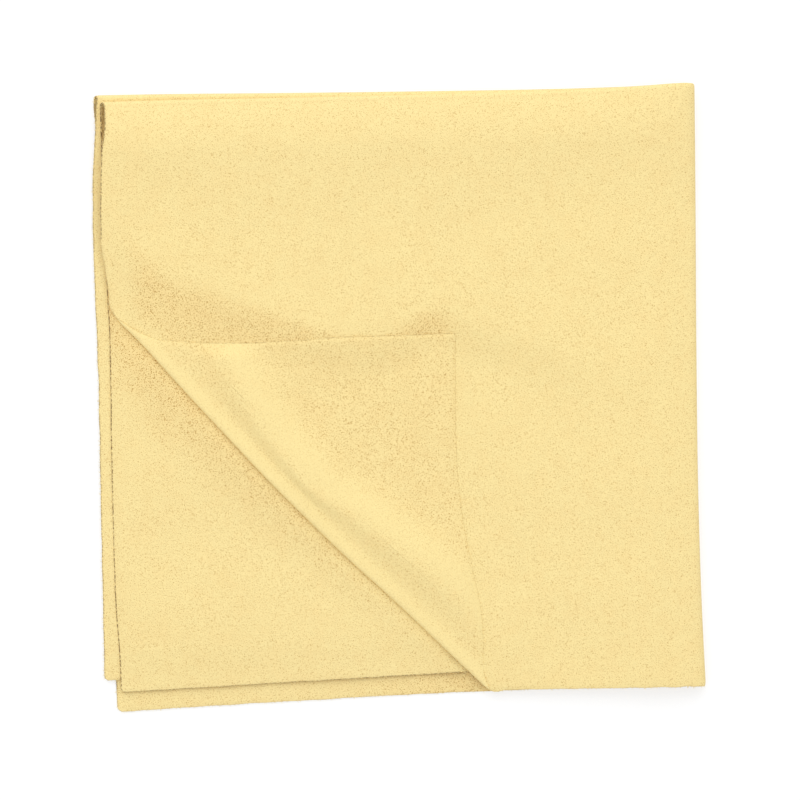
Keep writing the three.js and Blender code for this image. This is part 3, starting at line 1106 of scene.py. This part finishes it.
@dataclass
class TurnedCorner:
    """The soft roll and the flap that lies back on the top layer.

    Places are given along the turn and behind the roll's front, seen from above. A tight bead
    runs along the front, with a hollow behind it, and then a low crest from which the flap falls.

    Attributes:
        stack: Heights of the layers, and the line of the turn.
        columns: Shares along the seam with the top layer.
        seam: Ends of that seam, on the left and on the lower edge.
        foot: Distance behind the front at which the cloth leaves the layer.
        bead: Height of the bead over the top layer, by place along the turn.
        bead_width: Distance of the bead's top behind the front.
        equator: Height of the bead's foremost line, as a share of its height.
        settle: How far the roll settles into the gap under the top layer.
        hollow: Depth of the hollow behind the bead, as a share of the bead's height.
        hollow_at: Distance of the hollow behind the front.
        rise: Height of the crest over the hollow, by place along the turn.
        crest: Distance of the crest behind the front, by place along the turn.
        fall: Distance from the crest to where the flap touches.
        tip: Distance of the flap's tip behind the front.
        rest: Height of the resting flap's middle over that of the top layer.
        tip_lift: How far the tip stands up.
        edge_fall: Distance over which the flap lies down towards its cut edges.
        left_under: Left edge of the roll's underside, by turn in degrees.
        left_over: Left edge of the flap, by distance behind the front.
        right_under: Lower edge of the roll's underside, by turn in degrees.
        right_over: Lower edge of the flap, by distance behind the front.
        foot_end: Turn at which the roll's foot ends, in degrees.
        face_end: Distance behind the front at which its face ends.
        crest_end: Distance behind the front at which the flap begins.
        lying: Distance behind the front from which all of the flap turns as one.
        foot_shares: Shares of the foot at which its rows stand.
        face_turns: Turns of the rows under the front, in degrees.
        row_counts: Rows under the foot, over the face and over the crest.
        seam_row: Turn between a seam and the row beside it, in degrees.
        flap_step: Spacing of the flap's rows.
        tip_width: Distance of the flap's last row before the tip.
        wave: How far its cut edges stray from clean lines.
        wave_length: Typical length of that waviness.
        left_seed: Fixes the waviness of the left cut.
        lower_seed: Fixes that of the lower cut.
        left_edge_shade: Painted shade along the left cut, from 0 to 1.
        lower_edge_shade: The same for the lower cut.
        thin: Share of the cloth's thickness that is left at its cut edges.
        painted_light_band: Painted shade, and below 0 painted highlight, on the climb to the crest, by place
            along the turn.
        rim_and_crest_highlight: Painted highlight on the bead's rim and just behind the crest, drawn as paler
            pits.
        rim_fade: Distance in front of the hollow over which that fades.
        crest_fade: Share of the fall over which it starts behind the crest.
        flap_start: Share of the fall at which the flap's painted shade starts.
        flap_shade: Painted shade on the flap.
    """

    stack: FoldedStack
    columns: Array
    seam: tuple[Span, Span]
    foot: float = 4.0
    bead: Knots = (
        (-92.0, 0.75), (-75.0, 0.8), (-50.0, 0.9), (0.0, 1.0), (45.0, 0.95), (70.0, 0.9), (92.0, 0.75),
    )
    bead_width: float = 0.9
    equator: float = 0.3
    settle: float = 0.25
    hollow: float = 0.36
    hollow_at: float = 4.8
    rise: Knots = (
        (-80.0, 0.1), (-62.0, 0.9), (-45.0, 2.3), (-28.0, 2.2), (-10.0, 1.8), (5.0, 1.7),
        (20.0, 2.0), (50.0, 2.0), (65.0, 1.2), (80.0, 0.3), (92.0, 0.1),
    )
    crest: Knots = (
        (-75.0, 20.0), (-55.0, 19.0), (-40.0, 14.0), (-25.0, 10.5), (-10.0, 8.7), (5.0, 7.8),
        (20.0, 11.5), (35.0, 12.8), (50.0, 14.2), (65.0, 13.6), (80.0, 9.0), (92.0, 6.0),
    )
    fall: float = 16.0
    tip: float = 78.5
    rest: float = 0.4
    tip_lift: float = 0.15
    edge_fall: float = 7.0
    left_under: Knots = ((0.0, -91.3), (40.0, -88.6), (64.0, -86.3), (90.0, -83.5))
    left_over: Knots = (
        (0.0, -83.5), (1.5, -76.6), (3.7, -70.8), (7.6, -66.0), (12.1, -60.8), (24.2, -48.7),
        (36.9, -37.4), (47.3, -28.6), (59.9, -17.2), (78.5, -0.1),
    )
    right_under: Knots = ((0.0, 95.7), (45.0, 93.8), (90.0, 91.8))
    right_over: Knots = (
        (0.0, 91.8), (1.9, 87.7), (6.4, 82.7), (11.8, 77.3), (18.3, 69.5), (24.2, 61.0),
        (35.0, 45.5), (43.9, 35.0), (54.3, 24.0), (78.5, -0.1),
    )
    foot_end: float = 62.0
    face_end: float = 5.0
    crest_end: float = 12.5
    lying: float = 30.0
    foot_shares: tuple[float, ...] = (0.0, 0.02, 0.1, 0.3, 0.5, 0.7, 0.88)
    face_turns: tuple[float, ...] = (67.0, 73.0, 79.0, 85.0)
    row_counts: tuple[int, int, int] = (10, 19, 12)
    seam_row: float = 0.8
    flap_step: float = 1.2
    tip_width: float = 0.3
    wave: float = 0.05
    wave_length: float = 14.0
    left_seed: int = 307
    lower_seed: int = 311
    left_edge_shade: float = 0.3
    lower_edge_shade: float = 0.04
    thin: float = 0.2
    painted_light_band: Knots = (
        (-70.0, 0.5), (-55.0, 0.45), (-40.0, 0.25), (-25.0, -0.1), (-10.0, -0.2), (5.0, -0.35),
        (20.0, -0.05), (50.0, 0.05), (65.0, 0.15),
    )
    rim_and_crest_highlight: float = -0.4
    rim_fade: float = 2.0
    crest_fade: float = 0.25
    flap_start: float = 0.3
    flap_shade: float = 0.36

    def climb(self, behind: Array, along: Array) -> Array:
        """Returns 0 at the hollow and 1 at the crest."""
        return smooth((behind - self.hollow_at) / (through(self.crest, along) - self.hollow_at))

    def fallen(self, behind: Array, along: Array) -> Array:
        """Returns 0 at the crest and 1 where the flap touches."""
        return (behind - through(self.crest, along)) / self.fall

    def painted_shade(self, behind: Array, along: Array) -> Array:
        """Works out the painted shade and painted highlight above the roll and on the flap.

        Args:
            behind: Distances behind the front.
            along: Places along the turn.

        Returns:
            0 where nothing is painted, more for painted shade and less for painted highlight.
        """
        climb, fallen = self.climb(behind, along), self.fallen(behind, along)
        # Painted highlight on the bead's rim and behind the crest, painted shade and highlight on the climb,
        # painted shade on the flap.
        rim = self.rim_and_crest_highlight * ramp(behind, self.hollow_at, self.hollow_at - self.rim_fade)
        crest = self.rim_and_crest_highlight * ramp(fallen, 0.0, self.crest_fade)
        slope = through(self.painted_light_band, along) * 4.0 * climb * (1.0 - climb)
        return rim + slope + mix(crest, self.flap_shade, ramp(fallen, self.flap_start, 1.0))

    def section(self, zone: RollZone, part: float, along: Array) -> tuple[Array, Array]:
        """Follows the cloth round the roll's cross-section.

        Args:
            zone: Stretch of the cross-section.
            part: Turn in degrees under the roll, or distance behind the front above it.
            along: Places along the turn.

        Returns:
            Distance behind the front, and height over the top layer.
        """
        bead = through(self.bead, along)
        if zone is RollZone.UNDER:
            turn = math.radians(part)
            lift = self.equator * bead * (1.0 - math.cos(turn)) - self.settle * math.sin(turn)
            return self.foot * (1.0 - math.sin(turn)) + 0.0 * along, lift
        behind = part + 0.0 * along
        short = 1.0 - np.minimum(behind / self.bead_width, 1.0)
        low = self.equator * bead - self.settle
        top = mix(low, bead - self.settle, np.sqrt(1.0 - short**2))
        sunk = self.hollow * bead * ramp(behind, self.bead_width, self.hollow_at)
        rise = through(self.rise, along) * self.climb(behind, along)
        touch = through(self.crest, along) + self.fall
        outer = np.clip((behind - touch) / (self.tip - touch), 0.0, 1.0)
        flat = self.rest + self.tip_lift * outer**1.5
        return behind, mix(top - sunk + rise, flat, smooth(self.fallen(behind, along)))

    def edge(self, zone: RollZone, part: float, under: Knots, over: Knots, seed: int) -> float:
        """Returns the place along the turn where a row ends at a wavy cut, given under and over the roll."""
        place = through(under if zone is RollZone.UNDER else over, part)
        return float(place + self.wave * ripple(np.array(part), np.array(0.0), self.wave_length, seed))

    def row(self, zone: RollZone, part: float) -> tuple[Array, Array]:
        """Places one row of points across the turned corner.

        Args:
            zone: Stretch of the cross-section.
            part: Share of the foot, turn in degrees, or distance behind the front.

        Returns:
            Points from the left edge to the lower edge, and the painted shade there.
        """
        share, stack = self.columns, self.stack
        painted_shade, lift = np.zeros(len(share)), np.zeros(len(share))
        if zone is RollZone.FOOT:
            start = mix(np.array(self.seam[0]), np.array(self.seam[1]), share[:, None])
            place = mix(self.left_under[0][1], self.right_under[0][1], share)
            page = mix(start, stack.turn.page(place, np.full(len(share), self.foot)), part)
            painted_shade = stack.painted_shade(Layer.TOP, page[:, 0], page[:, 1])
        else:
            left = self.edge(zone, part, self.left_under, self.left_over, self.left_seed)
            right = self.edge(zone, part, self.right_under, self.right_over, self.lower_seed)
            place = mix(left, right, share)
            behind, lift = self.section(zone, part, place)
            page = stack.turn.page(place, behind)
        if zone is RollZone.OVER:
            inside = np.minimum(place - left, right - place)
            lift = np.minimum(lift, mix(self.rest, lift, smooth(inside / self.edge_fall)))
            painted_shade = self.painted_shade(behind, place)
        x, y = page[:, 0], page[:, 1]
        return np.stack([x, y, stack.height(Layer.TOP, x, y) + lift], axis=-1), painted_shade

    def stretch(self, name: str, rows: Sequence[tuple[RollZone, float]], closed: bool) -> ClothGrid:
        """Builds a stretch of the turned corner from its rows.

        Args:
            name: Name of the piece.
            rows: Zone and part of each row.
            closed: Whether another piece carries on after the last row.

        Returns:
            The stretch.
        """
        made = [self.row(zone, part) for zone, part in rows]
        points = np.stack([places for places, _ in made])
        seams = np.zeros(points.shape[:2], dtype=bool)
        seams[0] = True
        seams[-1] = closed
        painted_shade = np.stack([painted_shade for _, painted_shade in made])
        # Painted shade along the flap's cuts, more on the left cut than the lower one.
        side = mix(self.left_edge_shade, self.lower_edge_shade, ramp(self.columns, 0.3, 0.7))
        depth = np.broadcast_to(side, seams.shape)
        return ClothGrid(name, points, seams, self.stack.thickness, painted_shade, depth, thin=self.thin)

    def assemble(self, finish: Finish) -> list[Piece]:
        """Builds the roll's foot, its face, its crest and the flap.

        Args:
            finish: Materials and fibres.

        Returns:
            The pieces.
        """
        foot_count, face_count, crest_count = self.row_counts
        foot_turns = [*np.linspace(0.0, self.foot_end - self.seam_row, foot_count), self.foot_end]
        face_turns = (self.foot_end, self.foot_end + self.seam_row, *self.face_turns)
        face_parts = self.face_end * np.linspace(0.0, 1.0, face_count) ** 2
        crest_parts = np.linspace(self.face_end, self.crest_end, crest_count)
        flap_shares = stations(self.tip - self.crest_end, self.flap_step, False, True)
        flap_parts = mix(self.crest_end, self.tip - self.tip_width, flap_shares)

        def rows(zone: RollZone, parts: Sequence[float]) -> list[tuple[RollZone, float]]:
            """Pairs each part with its zone."""
            return [(zone, part) for part in parts]

        foot_rows = rows(RollZone.FOOT, self.foot_shares) + rows(RollZone.UNDER, foot_turns)
        face_rows = rows(RollZone.UNDER, face_turns) + rows(RollZone.OVER, face_parts)
        foot = self.stretch("roll_foot_cloth", foot_rows, True)
        face = self.stretch("roll_face_cloth", face_rows, True)
        crest = self.stretch("roll_crest_cloth", rows(RollZone.OVER, crest_parts), True)
        flap = self.stretch("turned_corner_cloth", rows(RollZone.OVER, flap_parts), False)
        across = self.stack.turn.inward
        lying_row = int(np.searchsorted(flap_parts, self.lying))
        lift = Bend.between("front_half", "roll_face", face.faces_of(0), face.faces_of(-1), across)
        turn = Bend.between("roll_face", "roll_crest", crest.faces_of(0), crest.faces_of(-1), across)
        fall = Bend.between("roll_crest", "turned_corner", flap.faces_of(0), flap.faces_of(lying_row), across)
        return [
            dress(foot, finish, "front_half", ["roll_foot"], seed=229),
            dress(face, finish, lift, ["roll_face"], seed=233),
            dress(crest, finish, turn, ["roll_crest"], seed=241),
            dress(flap, finish, fall, ["turned_corner"], seed=239),
        ]


# Finishes


def linear(colour: str) -> tuple[float, float, float, float]:
    """Turns an sRGB hex colour into a linear one.

    Args:
        colour: The colour, written with a hash sign and six digits.

    Returns:
        Red, green, blue and alpha.
    """
    parts = [int(colour[start : start + 2], 16) / 255.0 for start in (1, 3, 5)]
    red, green, blue = (
        part / 12.92 if part <= 0.04045 else ((part + 0.055) / 1.055) ** 2.4 for part in parts
    )
    return red, green, blue, 1.0


def add_node(tree: Tree, kind: str, inputs: Inputs | None = None, **settings: Any) -> Node:
    """Adds one node with its settings, and sets or links its inputs.

    Args:
        tree: Tree that gets the node.
        kind: Type name of the node.
        inputs: A value, a socket to link from, or a node whose first output is linked, by the
            input's name or number.
        **settings: Properties of the node.

    Returns:
        The node.
    """
    node = tree.nodes.new(kind)
    for name, value in settings.items():
        setattr(node, name, value)
    for name, value in (inputs or {}).items():
        source = value.outputs[0] if isinstance(value, Node) else value
        if isinstance(source, Socket):
            tree.links.new(source, node.inputs[name])
        else:
            node.inputs[name].default_value = source
    return node


def new_material(name: str) -> tuple[Material, Tree]:
    """Starts a material with an empty node tree.

    Args:
        name: Name of the material.

    Returns:
        The material and its tree.
    """
    material = bpy.data.materials.new(name)
    material.use_nodes = True
    material.node_tree.nodes.clear()
    return material, material.node_tree


@dataclass(frozen=True)
class Grain:
    """A noise in the felt.

    Attributes:
        size: Distance between its spots, in millimetres.
        detail: How many finer noises lie over it.
        roughness: How strong the finer ones are.
    """

    size: float
    detail: float
    roughness: float

    def inputs(self, place: Socket) -> Inputs:
        """Returns what a noise node needs to draw it, with places in millimetres."""
        return {"Vector": place, "Scale": 1.0 / self.size, "Detail": self.detail, "Roughness": self.roughness}


@dataclass(frozen=True)
class NonwovenMicrofibre:
    """Spun-laced polyester and polyamide microfibre, felted by water jets and dyed pale yellow.

    The eye sees a matt, suede-like ground with a fine grain of pits between fibre tufts,
    faint warm clouds where the felt is thinner, and a soft bright sheen along curves.
    Shade is painted in as deeper, warmer pits where the cloth lies in shade, highlight as
    paler pits on the roll's rim and crest, and shade as a dark line along cut edges.

    Attributes:
        ground: Colour of the tufts.
        pit: Colour in the pits between tufts.
        edge: Colour of the painted shade along cut edges, for the shadow in the gap beneath an edge.
        cloud: Warmer colour where the felt is thin.
        plain_pits: Depth of the pits' colour where no shade is painted.
        shade_pits: How much deeper it is under painted shade, and how much paler under painted highlight.
        shade_warmth: Share of the clouds' colour that painted shade adds.
        pits: Grain of the pits between tufts.
        clouds: Grain of the clouds.
        cloud_depth: Most of the clouds' colour where no shade is painted.
        tufts: Grain of the tufts in the relief.
        relief: Depth of the relief, in millimetres.
        relief_strength: How much of the relief the light shows.
        roughness: Roughness of the fibre surface.
        gloss: Strength of its plain reflection.
        sheen: Strength of the nap's sheen.
        sheen_roughness: How widely the sheen spreads.
        pit_noise: Noise at which a pit starts and is deepest.
        cloud_noise: Noise at which a cloud starts and is full.
        edge_shade_noise: Noise between which the painted shade along cut edges breaks up.
        edge_shade_least: Least share of that painted shade.
    """

    ground: str = "#FAE4A2"
    pit: str = "#BE9450"
    cloud: str = "#F7DA97"
    edge: str = "#6E4A26"
    plain_pits: float = 0.85
    shade_pits: float = 1.0
    shade_warmth: float = 0.5
    pits: Grain = Grain(0.38, 2.0, 0.6)
    clouds: Grain = Grain(6.0, 2.0, 0.55)
    cloud_depth: float = 0.3
    tufts: Grain = Grain(0.8, 3.0, 0.65)
    relief: float = 0.3
    relief_strength: float = 0.7
    roughness: float = 0.95
    gloss: float = 0.2
    sheen: float = 0.7
    sheen_roughness: float = 0.35
    pit_noise: Span = (0.47, 0.25)
    cloud_noise: Span = (0.4, 0.68)
    edge_shade_noise: Span = (0.4, 0.58)
    edge_shade_least: float = 0.1

    def material(self) -> Material:
        """Builds the material from the cloth's own places, so that it stays put as it bends.

        Returns:
            The material.
        """
        material, tree = new_material("nonwoven_microfibre_pale_yellow")
        # Reads the rest place, the painted shade and highlight, and the painted shade along cut edges.
        place, painted_shade, edge_shade = (
            add_node(tree, "ShaderNodeAttribute", attribute_name=name).outputs[kind]
            for name, kind in ((REST_PLACE, "Vector"), (PAINTED_SHADE, "Fac"), (EDGE_SHADE, "Fac"))
        )
        pits, clouds, tufts = (
            add_node(tree, "ShaderNodeTexNoise", grain.inputs(place))
            for grain in (self.pits, self.clouds, self.tufts)
        )
        # Painted shade deepens the pits and warms the clouds; painted highlight, below 0, pales the pits.
        depth = {0: painted_shade, 1: self.shade_pits, 2: self.plain_pits}
        deepest = add_node(tree, "ShaderNodeMath", depth, operation="MULTIPLY_ADD")
        least_warm = add_node(tree, "ShaderNodeMath", {0: painted_shade, 1: self.shade_warmth}, operation="MULTIPLY")
        most_warm = add_node(tree, "ShaderNodeMath", {0: least_warm, 1: self.cloud_depth}, operation="ADD")
        pit_share, cloud_share, broken = (
            add_node(tree, "ShaderNodeMapRange", {0: grain, 1: start, 2: full, 3: least, 4: most})
            for grain, (start, full), least, most in (
                (pits, self.pit_noise, 0.0, deepest),
                (clouds, self.cloud_noise, least_warm, most_warm),
                (tufts, self.edge_shade_noise, self.edge_shade_least, 1.0),
            )
        )
        # Painted shade along cut edges, broken up by the tufts' noise.
        edge_shade_share = add_node(tree, "ShaderNodeMath", {0: edge_shade, 1: broken}, operation="MULTIPLY")
        colour = linear(self.ground)
        for share, tint in ((cloud_share, self.cloud), (pit_share, self.pit), (edge_shade_share, self.edge)):
            layers = {0: share, 6: colour, 7: linear(tint)}
            colour = add_node(tree, "ShaderNodeMix", layers, data_type="RGBA").outputs[2]
        height = add_node(tree, "ShaderNodeMath", {0: pits, 1: tufts}, operation="ADD")
        relief = {"Strength": self.relief_strength, "Distance": self.relief * MILLIMETRE, "Height": height}
        surface = {
            "Base Color": colour,
            "Roughness": self.roughness,
            "Specular IOR Level": self.gloss,
            "Sheen Weight": self.sheen,
            "Sheen Roughness": self.sheen_roughness,
            "Sheen Tint": linear(self.ground),
            "Normal": add_node(tree, "ShaderNodeBump", relief),
        }
        shader = add_node(tree, "ShaderNodeBsdfPrincipled", surface)
        add_node(tree, "ShaderNodeOutputMaterial", {"Surface": shader})
        return material


@dataclass(frozen=True)
class LooseFibre:
    """Ends of microfibre that stand out of a raw cut edge, paler than the felt.

    Attributes:
        root: Colour where a fibre leaves the felt.
        end: Colour where it catches more light.
        roughness: Roughness of the fibre.
        gloss: Strength of its plain reflection.
        tone_size: Distance over which the colour changes, in millimetres.
    """

    root: str = "#F4D992"
    end: str = "#FBEBB9"
    roughness: float = 0.9
    gloss: float = 0.2
    tone_size: float = 0.9

    def material(self) -> Material:
        """Builds the material, with each fibre a little lighter or darker.

        Returns:
            The material.
        """
        material, tree = new_material("loose_microfibre_ends")
        place = add_node(tree, "ShaderNodeTexCoord").outputs["Object"]
        scale = 1.0 / (self.tone_size * MILLIMETRE)
        tone = add_node(tree, "ShaderNodeTexNoise", {"Vector": place, "Scale": scale})
        tints = {0: tone, 6: linear(self.root), 7: linear(self.end)}
        colour = add_node(tree, "ShaderNodeMix", tints, data_type="RGBA").outputs[2]
        surface = {"Base Color": colour, "Roughness": self.roughness, "Specular IOR Level": self.gloss}
        shader = add_node(tree, "ShaderNodeBsdfPrincipled", surface)
        add_node(tree, "ShaderNodeOutputMaterial", {"Surface": shader})
        return material


@dataclass
class FringeTree:
    """Node tree that grows the loose fibres along a cut edge.

    A real fibre is about 0.01 mm thick, so each one here stands for a small tuft.

    Attributes:
        spacing: Mean distance between tufts, in millimetres.
        length: Length of a tuft, in millimetres.
        width: Thickness of a tuft, in millimetres.
        spread: How far tufts lean away from straight out.
        lean_share: How far a tuft's end bends sideways, as a share of its length.
        bend_share: Where along its length it bends.
        sizes: Least and greatest size of a tuft, as shares of its length.
        tree: The node tree.
        sockets: Identifier of each named input.
    """

    spacing: float = 0.55
    length: float = 0.65
    width: float = 0.035
    spread: float = 0.9
    lean_share: float = 0.35
    bend_share: float = 0.55
    sizes: Span = (0.45, 1.25)
    tree: Tree = field(init=False)
    sockets: dict[str, str] = field(init=False)

    def __post_init__(self) -> None:
        """Builds the tree with its named inputs."""
        self.tree = bpy.data.node_groups.new("edge_fibres", "GeometryNodeTree")
        inputs = {
            "Roots": "NodeSocketGeometry",
            "Length": "NodeSocketFloat",
            "Width": "NodeSocketFloat",
            "Spread": "NodeSocketFloat",
            "Seed": "NodeSocketInt",
            "Fibre": "NodeSocketMaterial",
        }
        self.sockets = {
            name: self.tree.interface.new_socket(name, in_out="INPUT", socket_type=kind).identifier
            for name, kind in inputs.items()
        }
        self.tree.interface.new_socket("Fibres", in_out="OUTPUT", socket_type="NodeSocketGeometry")

        tree, given = self.tree, add_node(self.tree, "NodeGroupInput").outputs
        length, seed = given["Length"], given["Seed"]
        aside, middle = (
            add_node(tree, "ShaderNodeMath", {0: length, 1: share}, operation="MULTIPLY")
            for share in (self.lean_share, self.bend_share)
        )
        bow = {
            "Resolution": 3,
            "Start": (0.0, 0.0, 0.0),
            "Middle": add_node(tree, "ShaderNodeCombineXYZ", {"Z": middle}),
            "End": add_node(tree, "ShaderNodeCombineXYZ", {"X": aside, "Z": length}),
        }
        spine = add_node(tree, "GeometryNodeCurveQuadraticBezier", bow)
        round_off = {"Resolution": 3, "Radius": given["Width"]}
        ring = add_node(tree, "GeometryNodeCurvePrimitiveCircle", round_off)
        sweep = {"Curve": spine, "Profile Curve": ring, "Fill Caps": True}
        vector = {"data_type": "FLOAT_VECTOR"}
        facing = add_node(tree, "GeometryNodeInputNamedAttribute", {"Name": OUTWARD}, **vector)
        every_way = {0: (-1.0, -1.0, -1.0), 1: (1.0, 1.0, 1.0), "Seed": seed}
        stray = add_node(tree, "FunctionNodeRandomValue", every_way, **vector)
        aslant = {0: stray, "Scale": given["Spread"]}
        lean = add_node(tree, "ShaderNodeVectorMath", aslant, operation="SCALE")
        heading = add_node(tree, "ShaderNodeVectorMath", {0: facing, 1: lean}, operation="ADD")
        between = {2: self.sizes[0], 3: self.sizes[1], "Seed": seed}
        size = add_node(tree, "FunctionNodeRandomValue", between, data_type="FLOAT")
        planting = {
            "Points": add_node(tree, "GeometryNodeMeshToPoints", {"Mesh": given["Roots"]}),
            "Instance": add_node(tree, "GeometryNodeCurveToMesh", sweep),
            "Rotation": add_node(tree, "FunctionNodeAlignRotationToVector", {"Vector": heading}, axis="Z"),
            "Scale": size.outputs[1],
        }
        planted = add_node(tree, "GeometryNodeInstanceOnPoints", planting)
        real = add_node(tree, "GeometryNodeRealizeInstances", {0: planted})
        dressed = {"Geometry": real, "Material": given["Fibre"]}
        add_node(tree, "NodeGroupOutput", {0: add_node(tree, "GeometryNodeSetMaterial", dressed)})

    def grow(self, name: str, roots: Array, facing: Array, fibre: Material, seed: int) -> Piece:
        """Grows fibres from points on a cut edge.

        Args:
            name: Name of the piece.
            roots: Points in millimetres.
            facing: Which way each point faces.
            fibre: Material of the fibres.
            seed: Fixes lengths and directions.

        Returns:
            The fibres as one plain mesh.
        """
        base = bpy.data.meshes.new(f"{name}_roots")
        base.from_pydata((roots * MILLIMETRE).tolist(), [], [])
        outward = base.attributes.new(OUTWARD, "FLOAT_VECTOR", "POINT")
        outward.data.foreach_set("vector", facing.astype(np.float32).ravel())
        carrier = add_object(f"{name}_roots", base)
        modifier = carrier.modifiers.new("edge_fibres", "NODES")
        modifier.node_group = self.tree
        values = {
            "Length": self.length * MILLIMETRE,
            "Width": self.width * MILLIMETRE,
            "Spread": self.spread,
            "Seed": seed,
            "Fibre": fibre,
        }
        for label, value in values.items():
            modifier[self.sockets[label]] = value
        seen = carrier.evaluated_get(bpy.context.evaluated_depsgraph_get())
        mesh = bpy.data.meshes.new_from_object(seen)
        mesh.name = name
        carrier.modifiers.remove(modifier)
        bpy.data.objects.remove(carrier)
        return add_object(name, mesh)


# Stage


@dataclass(frozen=True)
class Studio:
    """Pale floor, white surround and one large soft lamp, with the camera straight above.

    Attributes:
        lamp_side: Side of the square lamp, in metres.
        lamp_place: Place of the lamp, in metres.
        lamp_power: Power of the lamp, in watts.
        surround: Strength of the surround's light.
        floor_half: Half the side of the floor, in metres.
        floor_height: Height of the floor, just clear of the lowest fibres, in metres.
        floor_own: Share of the floor's look that takes light and shadow.
        floor_glow: How far its own glow makes up for that share.
        floor_bounce: Share of the light that the floor gives back to the cloth.
        eye: Place of the camera, in metres.
        turn: Turn of the camera about its own view, in degrees.
        lens: Focal length, in millimetres.
        sensor: Width of the picture behind the lens, in millimetres.
        far_limit: Greatest distance that the camera sees, in metres.
    """

    lamp_side: float = 2.3
    lamp_place: tuple[float, float, float] = (-0.1, 1.45, 1.25)
    lamp_power: float = 19.0
    surround: float = 0.845
    floor_half: float = 3.0
    floor_height: float = -0.0003
    floor_own: float = 0.4
    floor_glow: float = 0.9
    floor_bounce: float = 0.85
    eye: tuple[float, float, float] = (-0.000206, -0.00373, 1.4865)
    turn: float = -1.12
    lens: float = 200.0
    sensor: float = 36.0
    far_limit: float = 20.0

    def floor(self) -> Piece:
        """Lays the floor, which keeps the cloth's shadow and otherwise looks white.

        Returns:
            The floor.
        """
        mesh = bpy.data.meshes.new("floor")
        corners = [(-1, -1), (1, -1), (1, 1), (-1, 1)]
        places = [(x * self.floor_half, y * self.floor_half, self.floor_height) for x, y in corners]
        mesh.from_pydata(places, [], [(0, 1, 2, 3)])
        floor = add_object("floor", mesh)
        material, tree = new_material("painted_white_board")
        path = add_node(tree, "ShaderNodeLightPath").outputs
        seen = path["Is Camera Ray"]
        for ray in ("Is Glossy Ray", "Is Transmission Ray"):
            seen = add_node(tree, "ShaderNodeMath", {0: seen, 1: path[ray]}, operation="MAXIMUM")
        grey, pale = [(tone, tone, tone, 1.0) for tone in (self.floor_own, self.floor_bounce)]
        tone = add_node(tree, "ShaderNodeMix", {0: seen, 6: pale, 7: grey}, data_type="RGBA").outputs[2]
        own = add_node(tree, "ShaderNodeBsdfDiffuse", {"Color": tone})
        share = 1.0 - self.floor_glow * self.floor_own
        strength = add_node(tree, "ShaderNodeMath", {0: seen, 1: share}, operation="MULTIPLY")
        glow = add_node(tree, "ShaderNodeEmission", {"Color": WHITE, "Strength": strength})
        both = add_node(tree, "ShaderNodeAddShader", {0: own, 1: glow})
        add_node(tree, "ShaderNodeOutputMaterial", {"Surface": both})
        mesh.materials.append(material)
        return floor

    def light(self) -> None:
        """Lights the scene softly from all round and a little more from above."""
        world = bpy.data.worlds.new("white_studio")
        world.use_nodes = True
        tree = world.node_tree
        tree.nodes.clear()
        seen = add_node(tree, "ShaderNodeLightPath").outputs["Is Camera Ray"]
        levels = {0: seen, 2: self.surround, 3: 1.0}
        strength = add_node(tree, "ShaderNodeMix", levels, data_type="FLOAT")
        glow = add_node(tree, "ShaderNodeBackground", {"Color": WHITE, "Strength": strength})
        add_node(tree, "ShaderNodeOutputWorld", {"Surface": glow})
        bpy.context.scene.world = world
        lamp = bpy.data.lights.new("soft_overhead_lamp", "AREA")
        lamp.shape = "SQUARE"
        lamp.size = self.lamp_side
        lamp.energy = self.lamp_power
        holder = add_object("soft_overhead_lamp", lamp)
        holder.location = self.lamp_place
        holder.rotation_euler = (-Vector(self.lamp_place)).to_track_quat("-Z", "Y").to_euler()

    def camera(self) -> None:
        """Sets the camera straight above the cloth, as in the photograph."""
        lens = bpy.data.cameras.new("overhead_camera")
        lens.lens = self.lens
        lens.sensor_width = self.sensor
        lens.clip_end = self.far_limit
        holder = add_object("overhead_camera", lens)
        holder.location = self.eye
        holder.rotation_euler = (0.0, 0.0, math.radians(self.turn))
        bpy.context.scene.camera = holder

    def set_up(self) -> None:
        """Places floor, lights and camera."""
        self.floor()
        self.light()
        self.camera()
        bpy.context.scene.view_settings.view_transform = "Standard"


def plain(box: Sequence[Sequence[float]]) -> list[list[float]]:
    """Returns a box's two corners as plain lists of numbers."""
    return [[float(value) for value in corner] for corner in box]


def main() -> None:
    """Builds the cloth piece by piece, dresses it and sets the stage."""
    logging.basicConfig(level=logging.INFO, format="%(message)s")
    Studio().set_up()
    finish = Finish(NonwovenMicrofibre().material(), LooseFibre().material(), FringeTree())
    stack = FoldedStack(TurnLine())
    halves = FoldedHalves(stack)
    pieces = halves.assemble(finish)
    corner = TurnedCorner(stack, halves.roll_columns, (halves.seam_left, halves.seam_lower))
    pieces += corner.assemble(finish)
    log.info("%d pieces of cloth", len(pieces))


if __name__ == "__main__":
    main()
